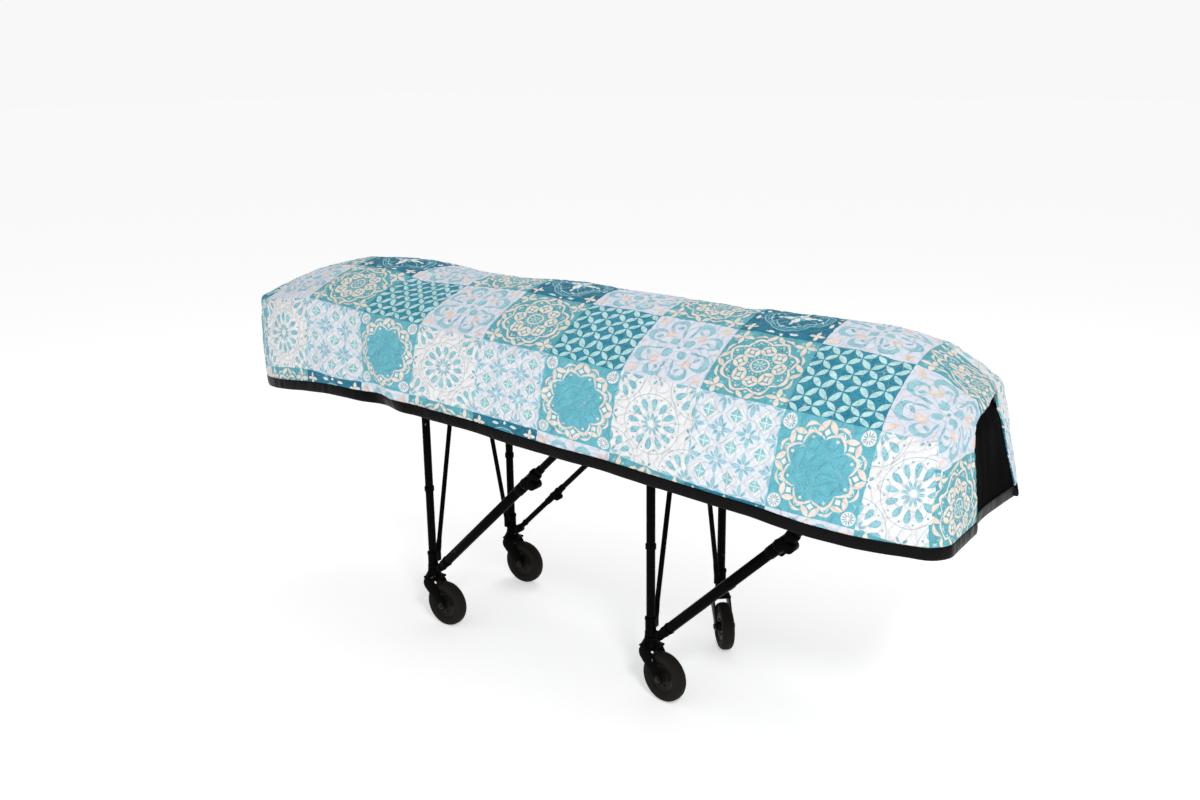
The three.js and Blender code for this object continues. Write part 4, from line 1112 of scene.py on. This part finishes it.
# The printed squares, drawn from plain formulas in the manner of old painted tiles. A pair of colours is washed.
MOTIFS = {
    "wheel": {
        "at": (3,),
        "ground": "#EFEEEF",
        "fields": {
            "far": "over(ax + ay, 0.5)",
            "px": "abs(ax - 0.5 * far)",
            "py": "abs(ay - 0.5 * far)",
            "pr": "far_from(px, py)",
            "pa": "atan2(py, px)",
            "side": "pr * pingpong(pa, pi / 12)",
            "between": "pr * pingpong(pa + pi / 12, pi / 12)",
            "s": "(pr - 0.142) / 0.15",
            "slant": "(abs(edge_a) + edge_b) * 0.707",
            "slant2": "(abs(edge_a) - edge_b) * 0.707",
        },
        "layers": [
            ("#94BAC3", "line(pr - 0.338, 0.0032)"),
            (("#B5DDE4", "#5BA6B9"), "0.095 * s * sqrt(max(1 - s, 0)) - side"),
            (("#A9D9E1", "#7FC0CE"), "0.07 * s * sqrt(max(1 - s, 0)) - side - 0.004"),
            (("#A5D3DC", "#6BB0BF"), "leaf(pr - 0.085, side - 0.008, 0.048, 0.0085)"),
            ("#7DB8C5", "leaf(pr - 0.297, between, 0.014, 0.01)"),
            (("#9CCFDA", "#5FA7B8"), "leaf(slant - 0.056, slant2, 0.032, 0.015)"),
            ("#6FB1BF", "disc(edge_a, edge_b, 0.014)"),
            ("#8FC3CF", "leaf(edge_b - 0.055, edge_a, 0.015, 0.008)"),
        ],
    },
    "lattice": {
        "at": (4,),
        "ground": "#E3E9F3",
        "fields": {
            "dx": "wrap(x, 1 / 6, -1 / 6)",
            "dy": "wrap(y, 1 / 6, -1 / 6)",
            "fx": "1 / 6 - abs(dx)",
            "fy": "1 / 6 - abs(dy)",
            "dm": "abs(dx) + abs(dy)",
            "out": "(fx + fy) * 0.707",
        },
        "layers": [
            (("#B9DEE7", "#7FBCCC"), "max(leaf(fx - 0.083, fy, 0.066, 0.026), leaf(fy - 0.083, fx, 0.066, 0.026))"),
            ("#A3D1DD", "max(leaf(fx - 0.083, fy, 0.05, 0.014), leaf(fy - 0.083, fx, 0.05, 0.014))"),
            (("#A6D2DD", "#74B4C4"), "leaf(out - 0.066, (fx - fy) * 0.707, 0.044, 0.016)"),
            ("#F4F3F4", "0.131 - dm"),
            ("#A3B3B9", "line(dm - 0.126, 0.0028)"),
            ("#B7C3C7", "line(dm - 0.094, 0.002)"),
            (("#A8DDE0", "#6DBAC6"), "0.083 - dm"),
            ("#EEF6F7", "min(0.083 - dm, 0.0048 - min(abs(dx), abs(dy)))"),
            ("#DDF0F1", "min(0.083 - dm, 0.003 - abs(dm - 0.042))"),
            ("#F1F4F8", "disc(fx, fy, 0.012)"),
            ("#5C9FB2", "disc(fx, fy, 0.005)"),
        ],
    },
    "ring": {
        "at": (5,),
        "ground": ("#74C3D2", "#5CAEC0"),
        "fields": {
            "pair_along": "0.66 * Y - 0.75 * (X - 0.497)",
            "pair_across": "0.75 * Y + 0.66 * (X - 0.497)",
            "brace": "X2 - 0.405 + 0.24 * Y2 + 5.3 * Y2 ** 2",
            "tick": "X2 - 0.447 + 0.9 * Y2",
            "kx": "ax - 0.412",
            "ky": "ay - 0.412",
            "kr": "far_from(kx, ky)",
            "ka": "kr * pingpong(atan2(ky, kx), pi / 11)",
        },
        "layers": [
            ("#F3E2D6", "leaf(pair_along - 0.08, pair_across, 0.075, 0.031)"),
            ("#F3E2D6", "min(line(brace, 0.0175), 0.116 - Y2)"),
            ("#F3E2D6", "leaf(Y2, X2 - 0.474 + 5 * Y2 ** 2, 0.09, 0.0155)"),
            ("#EFF4F3", "min(line(tick, 0.0065), min(0.044 - Y2, Y2 - 0.009))"),
            ("#F4F3F4", "diamond(X - 0.387, Y, 0.036)"),
            ("#F0E6DD", "diamond(X2 - 0.342, Y2, 0.02)"),
            ("#F1F1F1", "0.074 - kr"),
            ("#86AEBA", "leaf(kr - 0.042, ka, 0.027, 0.0058)"),
            ("#F1F1F1", "0.013 - kr"),
        ],
    },
    "medallion": {
        "at": (0, 7),
        "ground": ("#6BBAC6", "#519FAC"),
        "fields": {
            "cx": "abs(X - 0.228) - 0.04",
            "cy": "Y - 0.043",
            "brace": "X2 - 0.408 + 0.2 * Y2 + 4.6 * Y2 ** 2",
            "bx": "ax - 0.372",
            "by": "ay - 0.372",
            "vee_along": "0.7 * edge_b - 0.7 * (edge_a + 0.005)",
            "vee_across": "0.7 * edge_b + 0.7 * (edge_a + 0.005)",
        },
        "layers": [
            ("#F0DFD2", "line(r - 0.096, 0.011)"),
            ("#BFE3E6", "leaf(X - 0.05, Y, 0.03, 0.011)"),
            ("#F0DFD2", "0.014 - r"),
            ("#E3F1F1", "disc(r - 0.128, r * pingpong(angle, pi / 18), 0.0075)"),
            ("#F3E3D7", "leaf(0.75 * cy - 0.66 * cx, 0.66 * cy + 0.75 * cx, 0.06, 0.0235)"),
            ("#F3E8E0", "diamond(X - 0.228, Y, 0.032)"),
            ("#E3F1F1", "disc(r - 0.33, r * pingpong(angle, pi / 40), 0.008)"),
            ("#F0DFD2", "diamond(X2 - 0.352, Y2, 0.02)"),
            ("#F3E3D7", "min(line(brace, 0.0175), 0.128 - Y2)"),
            ("#F0DFD2", "leaf(Y2, X2 - 0.466 + 3.8 * Y2 ** 2, 0.08, 0.0155)"),
            ("#F0DFD2", "leaf(vee_along - 0.078, vee_across, 0.072, 0.028)"),
            ("#BFE3E6", "diamond(edge_a + 0.115, edge_b, 0.024)"),
            ("#F3E3D7", "max(leaf(abs(bx) - 0.07, by, 0.067, 0.03), leaf(abs(by) - 0.07, bx, 0.067, 0.03))"),
            ("#9FD6DC", "0.016 - max(abs(abs(bx) - 0.06), abs(abs(by) - 0.06))"),
        ],
    },
    "leaves": {
        "at": (8,),
        "ground": ("#3D9DB5", "#1D7790"),
        "fields": {
            "pa8": "pingpong((x + y) * 4 + 0.5, 0.5)",
            "pb8": "pingpong((x - y) * 4 + 0.5, 0.5)",
        },
        "layers": [
            (
                ("#D3F0EE", "#A6D9DC"),
                "max(leaf(0.5 - pa8, pb8, 0.45, 0.185), leaf(0.5 - pb8, pa8, 0.45, 0.185))",
            ),
        ],
        "edge": 0.03,
    },
    "ornate": {
        "at": (1,),
        "ground": ("#2B859F", "#186680"),
        "fields": {
            "oa": "max(ax, ay)",
            "lobe": "far_from(oa - 0.14, edge_b)",
            "lobe2": "far_from(ax - 0.16, ay - 0.16)",
            "ox": "ax - 0.395",
            "oy": "ay - 0.395",
        },
        "layers": [
            ("#9ACBD6", "line(lobe - 0.262, 0.0075)"),
            ("#5FA9BB", "line(lobe - 0.228, 0.0095)"),
            ("#B4DBE2", "line(lobe - 0.19, 0.0065)"),
            ("#9ACBD6", "min(line(lobe2 - 0.1, 0.006), ax + ay - 0.24)"),
            ("#7DBBC9", "leaf((ax + ay) * 0.707 - 0.085, (ax - ay) * 0.707, 0.06, 0.022)"),
            ("#F1F3F3", "leaf(oa - 0.115, edge_b, 0.1, 0.042)"),
            ("#F3E7DC", "0.024 - r"),
            ("#E6F0F2", "leaf(oa - 0.235, edge_b, 0.035, 0.02)"),
            ("#CBE5E9", "leaf(edge_b - 0.075, oa - 0.27 - 0.5 * edge_b, 0.04, 0.011)"),
            ("#F3E7DC", "max(leaf(abs(ox) - 0.045, oy, 0.045, 0.022), leaf(abs(oy) - 0.045, ox, 0.045, 0.022))"),
            ("#E6F0F2", "leaf(edge_b - 0.14, edge_a + 0.055, 0.055, 0.02)"),
            ("#F1F3F3", "diamond(edge_a + 0.03, edge_b, 0.024)"),
        ],
    },
    "scroll": {
        "at": (2, 6),
        "ground": "#DFE5F1",
        "fields": {
            "sa": "max(ax, ay)",
            "sx": "sa - 0.335",
            "sy": "edge_b - 0.155",
            "sr": "far_from(sx, sy)",
            "heavy": "0.5 + 0.5 * cos(atan2(sy, sx) - 0.35)",
            "diag": "(ax + ay) * 0.707",
            "cross": "(ax - ay) * 0.707",
        },
        "layers": [
            (("#F2DBCB", "#ECCDB8"), "max(leaf(diag - 0.295, abs(cross) - 0.034, 0.05, 0.024), disc(diag - 0.245, cross, 0.02))"),
            (("#F2DBCB", "#EDD0BC"), "leaf(diag - 0.575, cross, 0.075, 0.032)"),
            (("#F2DBCB", "#EDD0BC"), "leaf(sa - 0.47, edge_b, 0.03, 0.022)"),
            (("#BDDDE5", "#76B2C2"), "line(sr - 0.092, 0.044 * heavy - 0.004)"),
            ("#9BD0DA", "line(sr - 0.092, 0.026 * heavy - 0.006)"),
            (("#B4D9E2", "#76B2C2"), "leaf(sa - 0.25, edge_b - 0.052 - 0.2 * (sa - 0.25), 0.085, 0.019)"),
            (("#B4D9E2", "#76B2C2"), "leaf(sx + 0.025, sy + 0.036 + 0.5 * sx, 0.04, 0.026)"),
            (("#BDDDE5", "#76B2C2"), "leaf(diag - 0.13, cross, 0.072, 0.056)"),
            ("#9BD0DA", "leaf(diag - 0.135, cross, 0.05, 0.032)"),
            (("#9BD0DA", "#62ABBD"), "0.022 - r"),
        ],
    },
}
# Sizes of the print in squares or per square: how its lines wander, its washes and its grain
PRINT = {"wobble_per_square": 13, "wobble": 0.01, "wash_per_square": 7, "grain_per_square": 60, "edge": 0.007}


def lay_ink(draw, under, ink, shape, edge):
    """Prints one ink over what lies under it, wherever its shape's formula is over zero."""
    field = draw.value(shape)
    mask = add_node(
        draw.tree, "ShaderNodeMath", {0: field, 1: 1 / edge, 2: 0.5}, operation="MULTIPLY_ADD", use_clamp=True,
    )
    return add_node(draw.tree, "ShaderNodeMix", {0: mask.outputs[0], 6: under, 7: ink}, data_type="RGBA").outputs[2]


def washed(draw, inks, wash):
    """One ink, or a pair blended by the wash."""
    if isinstance(inks, str):
        return colour(inks)
    light, deep = [colour(ink) for ink in inks]
    return add_node(draw.tree, "ShaderNodeMix", {0: wash, 6: light, 7: deep}, data_type="RGBA").outputs[2]


def draw_squares(draw, wash):
    """The whole print: every motif's square, each shown where its number is."""
    cloth = None
    for motif in MOTIFS.values():
        draw.define(motif["fields"])
        square = washed(draw, motif["ground"], wash)
        for inks, shape in motif["layers"]:
            square = lay_ink(draw, square, washed(draw, inks, wash), shape, motif.get("edge", PRINT["edge"]))
        here = " + ".join(f"same(index, {number}, 0.5)" for number in motif["at"])
        cloth = square if cloth is None else lay_ink(draw, cloth, square, f"{here} - 0.5", 0.01)
    return cloth


def printed_cotton():
    """Quilting cotton: plain-woven, dyed by printing, matt, with a little fuzz that catches light at grazing angles."""
    material, tree, surface = new_material("printed_quilted_cotton", {"Roughness": 0.88, "Sheen Weight": 0.08, "IOR": 1.45})
    surface.inputs["Specular IOR Level"].default_value = 0.3
    print_place = add_node(tree, "ShaderNodeUVMap", uv_map="print").outputs[0]
    wander = {"Vector": print_place, "Scale": PRINT["wobble_per_square"], "Detail": 1}
    wobble = add_node(tree, "ShaderNodeTexNoise", wander).outputs["Color"]
    u, v, _ = add_node(tree, "ShaderNodeSeparateXYZ", {0: print_place}).outputs
    wobble_x, wobble_y, _ = add_node(tree, "ShaderNodeSeparateXYZ", {0: wobble}).outputs
    washes = {"Vector": print_place, "Scale": PRINT["wash_per_square"], "Detail": 3}
    blotch = add_node(tree, "ShaderNodeTexNoise", washes).outputs["Fac"]
    grains = {"Vector": print_place, "Scale": PRINT["grain_per_square"], "Detail": 2}
    grain = add_node(tree, "ShaderNodeTexNoise", grains).outputs["Fac"]
    stitch = add_node(tree, "ShaderNodeAttribute", attribute_name="quilt").outputs["Fac"]
    draw = Formulas(
        tree, u=u, v=v, wobble_x=wobble_x, wobble_y=wobble_y, blotch=blotch, grain=grain, stitch=stitch,
        wobble=PRINT["wobble"],
    )
    draw.define({
        "x": "fract(u) - 0.5 + (wobble_x - 0.5) * wobble",
        "y": "fract(v) - 0.5 + (wobble_y - 0.5) * wobble",
        "index": "mod(floor(v) + 2, 3) * 3 + mod(floor(u), 3)",
        "wash": "min(max((blotch - 0.5) * 2.2 + (grain - 0.5) * 2.8 + 0.5, 0), 1)",
        "away": "abs(stitch)",
        "seen": "min(max((blotch - 0.42) * 8, 0.15), 1)",
    })
    draw.define(PRINT_FIELDS)
    cloth = draw_squares(draw, draw.known["wash"])
    # The stitches pull the cloth into soft grooves, and their shade is painted into the print as a darker teal along
    # each stitch; their pale thread shows here and there
    groove = draw.value("max(1 - away / 0.55, 0) ** 2 * 0.14")
    cloth = add_node(tree, "ShaderNodeMix", {0: groove, 6: cloth, 7: colour("#5C8996")}, data_type="RGBA").outputs[2]
    thread = draw.value("min(max((0.11 - away) / 0.1, 0), 1) * seen * 0.4")
    cloth = add_node(tree, "ShaderNodeMix", {0: thread, 6: cloth, 7: colour("#F2F4F2")}, data_type="RGBA").outputs[2]
    tree.links.new(cloth, surface.inputs["Base Color"])
    place = add_node(tree, "ShaderNodeTexCoord").outputs["Object"]
    # The weave is 0.3 mm in the cloth and is drawn at 1.6 mm, so that it shows.
    weave = add_node(tree, "ShaderNodeTexNoise", {"Vector": place, "Scale": 1 / (1.6 * MM), "Detail": 0}).outputs["Fac"]
    crumple = add_node(
        tree, "ShaderNodeTexNoise", {"Vector": place, "Scale": 1 / (24 * MM), "Detail": 3, "Distortion": 0.8},
    ).outputs["Fac"]
    puff = draw.value("sqrt(min(away / 0.9, 1))")
    normal = None
    for height, strength, depth_mm in ((weave, 0.1, 0.4), (crumple, 0.8, 10.0), (puff, 0.66, 2.8)):
        inputs = {"Strength": strength, "Distance": depth_mm * MM, "Height": height}
        if normal:
            inputs["Normal"] = normal
        normal = add_node(tree, "ShaderNodeBump", inputs).outputs[0]
    tree.links.new(normal, surface.inputs["Normal"])
    return material


def new_material(name, settings):
    """A material with its Principled shader, whose fixed values are set on its own sockets."""
    material = bpy.data.materials.new(name)
    material.use_nodes = True
    tree = material.node_tree
    surface = tree.nodes["Principled BSDF"]
    for key, value in settings.items():
        surface.inputs[key].default_value = value
    return material, tree, surface


def varied_finish(name, settings, inks, patch_mm, rough, grain_mm, grain_depth_mm, wear=None):
    """A finish whose colour and roughness drift over patches, with a fine grain in its surface, worn if asked."""
    material, tree, surface = new_material(name, settings)
    place = add_node(tree, "ShaderNodeTexCoord").outputs["Object"]
    drift = {"Vector": place, "Scale": 1 / (patch_mm * MM), "Detail": 4}
    patches = add_node(tree, "ShaderNodeTexNoise", drift).outputs["Fac"]
    tints = {0: patches, 6: colour(inks[0]), 7: colour(inks[1])}
    tint = add_node(tree, "ShaderNodeMix", tints, data_type="RGBA").outputs[2]
    levels = {"Value": patches, "From Min": 0.3, "From Max": 0.7, "To Min": rough[0], "To Max": rough[1]}
    roughness = add_node(tree, "ShaderNodeMapRange", levels).outputs[0]
    if wear:
        spots = {"Vector": place, "Scale": 1 / (wear["size_mm"] * MM), "Detail": 5}
        chips = add_node(tree, "ShaderNodeTexNoise", spots).outputs["Fac"]
        levels = {"Value": chips, "From Min": wear["from"], "From Max": wear["from"] + 0.02}
        chipped = add_node(tree, "ShaderNodeMapRange", levels).outputs[0]
        tints = {0: chipped, 6: tint, 7: colour(wear["ink"])}
        tint = add_node(tree, "ShaderNodeMix", tints, data_type="RGBA").outputs[2]
    grains = {"Vector": place, "Scale": 1 / (grain_mm * MM), "Detail": 3}
    grain = add_node(tree, "ShaderNodeTexNoise", grains).outputs["Fac"]
    bump = add_node(tree, "ShaderNodeBump", {"Strength": 0.6, "Distance": grain_depth_mm * MM, "Height": grain})
    tree.links.new(tint, surface.inputs["Base Color"])
    tree.links.new(roughness, surface.inputs["Roughness"])
    tree.links.new(bump.outputs[0], surface.inputs["Normal"])
    return material


def make_finishes():
    return {
        "cotton": printed_cotton(),
        # Expanded vinyl on a knit backing: soft, near black, with a leather grain that breaks up its low gloss
        "vinyl": varied_finish(
            "black_vinyl", {"IOR": 1.5, "Specular IOR Level": 0.002}, ("#070708", "#0D0D0F"), 60, (0.42, 0.55), 2.2, 0.35,
        ),
        "tape": varied_finish(
            "black_vinyl_binding", {"IOR": 1.5, "Specular IOR Level": 0.08}, ("#070708", "#0D0D0F"), 30, (0.26, 0.42),
            3.0, 0.5,
        ),
        # Brushing enamel over steel: thick, glossy, slightly uneven, with chips that show primer and bare metal
        "paint": varied_finish(
            "gloss_black_enamel", {"IOR": 1.5, "Specular IOR Level": 0.015}, ("#050505", "#0B0A09"), 45, (0.2, 0.34),
            7, 0.3, {"size_mm": 16, "from": 0.715, "ink": "#6E655C"},
        ),
        "rubber": varied_finish(
            "worn_rubber", {"IOR": 1.5, "Specular IOR Level": 0.08}, ("#15120E", "#25211C"), 14, (0.55, 0.85), 1.8, 0.3,
            {"size_mm": 9, "from": 0.7, "ink": "#3A342D"},
        ),
        "hub": varied_finish(
            "dusty_hub_enamel", {"IOR": 1.5, "Specular IOR Level": 0.12}, ("#0C0B0A", "#1B1916"), 12, (0.3, 0.6),
            4, 0.25, {"size_mm": 8, "from": 0.7, "ink": "#4A443C"},
        ),
        # Bolts of plated steel, darkened by age
        "steel": varied_finish(
            "darkened_plated_steel", {"Metallic": 1.0}, ("#242322", "#3A3836"), 10, (0.3, 0.5), 3, 0.15,
        ),
        # Mattress ticking: close-woven cotton twill, matt and pale
        "ticking": varied_finish(
            "cotton_ticking", {"IOR": 1.45, "Sheen Weight": 0.1}, ("#CFCAC0", "#DAD6CD"), 40, (0.8, 0.92), 1.8, 0.25,
        ),
    }


# Stage
def make_stage():
    """A plain pale floor under a studio sky that is brighter near the horizon than overhead."""
    bm = bmesh.new()
    bmesh.ops.create_grid(bm, x_segments=2, y_segments=2, size=40)
    mesh = bpy.data.meshes.new("floor")
    bm.to_mesh(mesh)
    bm.free()
    floor = bpy.data.objects.new("floor", mesh)
    bpy.context.scene.collection.objects.link(floor)
    settings = {
        "Roughness": 0.9, "Base Color": colour("#FAFAFA"), "Specular IOR Level": 0.1,
        "Emission Color": colour("#FFFFFF"), "Emission Strength": STAGE["floor_glow"],
    }
    material, _, _ = new_material("pale_floor", settings)
    mesh.materials.append(material)

    world = bpy.data.worlds.new("studio")
    bpy.context.scene.world = world
    world.use_nodes = True
    tree = world.node_tree
    backdrop = tree.nodes["Background"]
    backdrop.inputs["Color"].default_value = colour("#FFFFFF")
    heading = add_node(tree, "ShaderNodeTexCoord").outputs["Generated"]
    height = add_node(tree, "ShaderNodeSeparateXYZ", {0: heading}).outputs["Z"]
    fall = {"Value": height, "From Min": 0.05, "From Max": 0.2, "To Min": STAGE["horizon"], "To Max": STAGE["overhead"]}
    tree.links.new(add_node(tree, "ShaderNodeMapRange", fall).outputs[0], backdrop.inputs["Strength"])
    for name, spot, aim, size, power in LIGHTS:
        light = bpy.data.lights.new(name, "AREA")
        light.shape = "DISK"
        light.size = size
        light.energy = power
        lamp = bpy.data.objects.new(name, light)
        lamp.location = spot
        lamp.rotation_euler = (Vector(aim) - Vector(spot)).to_track_quat("-Z", "Y").to_euler()
        bpy.context.scene.collection.objects.link(lamp)
    bpy.context.scene.view_settings.view_transform = "Standard"


STAGE = {"floor_glow": 0.44, "horizon": 0.94, "overhead": 0.52}
# Area lights in metres: where each stands, what it looks at, its size and its power in watts
LIGHTS = [
    ("key", (2.6, -2.4, 3.2), (0.0, 0.0, 0.8), 0.8, 63),
    ("top", (-0.6, 1.6, 3.6), (0.0, 0.0, 0.8), 1.6, 20),
]


def make_camera():
    camera = bpy.data.cameras.new("camera")
    camera.lens = CAMERA["lens"]
    camera.sensor_width = 36
    eye = bpy.data.objects.new("camera", camera)
    yaw, pitch, roll = CAMERA["yaw"], CAMERA["pitch"], CAMERA["roll"]
    forwards = Vector((math.cos(pitch) * math.sin(yaw), math.cos(pitch) * math.cos(yaw), math.sin(pitch)))
    right = Vector((math.cos(yaw), -math.sin(yaw), 0))
    up = right.cross(forwards)
    rolled_right = right * math.cos(roll) + up * math.sin(roll)
    rolled_up = up * math.cos(roll) - right * math.sin(roll)
    turn = Matrix((rolled_right, rolled_up, -forwards)).transposed()
    eye.matrix_world = Matrix.Translation(CAMERA["at"]) @ turn.to_4x4()
    bpy.context.scene.collection.objects.link(eye)
    bpy.context.scene.camera = eye


# Solved from the photograph's perspective: metres, radians, and a lens in millimetres on a 36 mm frame
CAMERA = {"at": (1.78733, -2.42740, 1.53211), "lens": 35.94, "yaw": -0.620, "pitch": -0.2787, "roll": -0.0109}


def main():
    finishes = make_finishes()
    make_mattress(finishes["ticking"])
    make_cover(finishes["cotton"])
    make_gusset(finishes["vinyl"])
    make_binding(finishes["tape"])
    make_bed_frame(finishes["paint"])
    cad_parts["deck"].data.materials.clear()
    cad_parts["deck"].data.materials.append(finishes["paint"])
    for name, x, side, turn in CASTERS:
        make_leg(name, x, side, finishes["paint"])
        make_brace(name, x, side, finishes["paint"])
        make_caster(name, x, side, turn, finishes)
    make_stage()
    make_camera()


main()
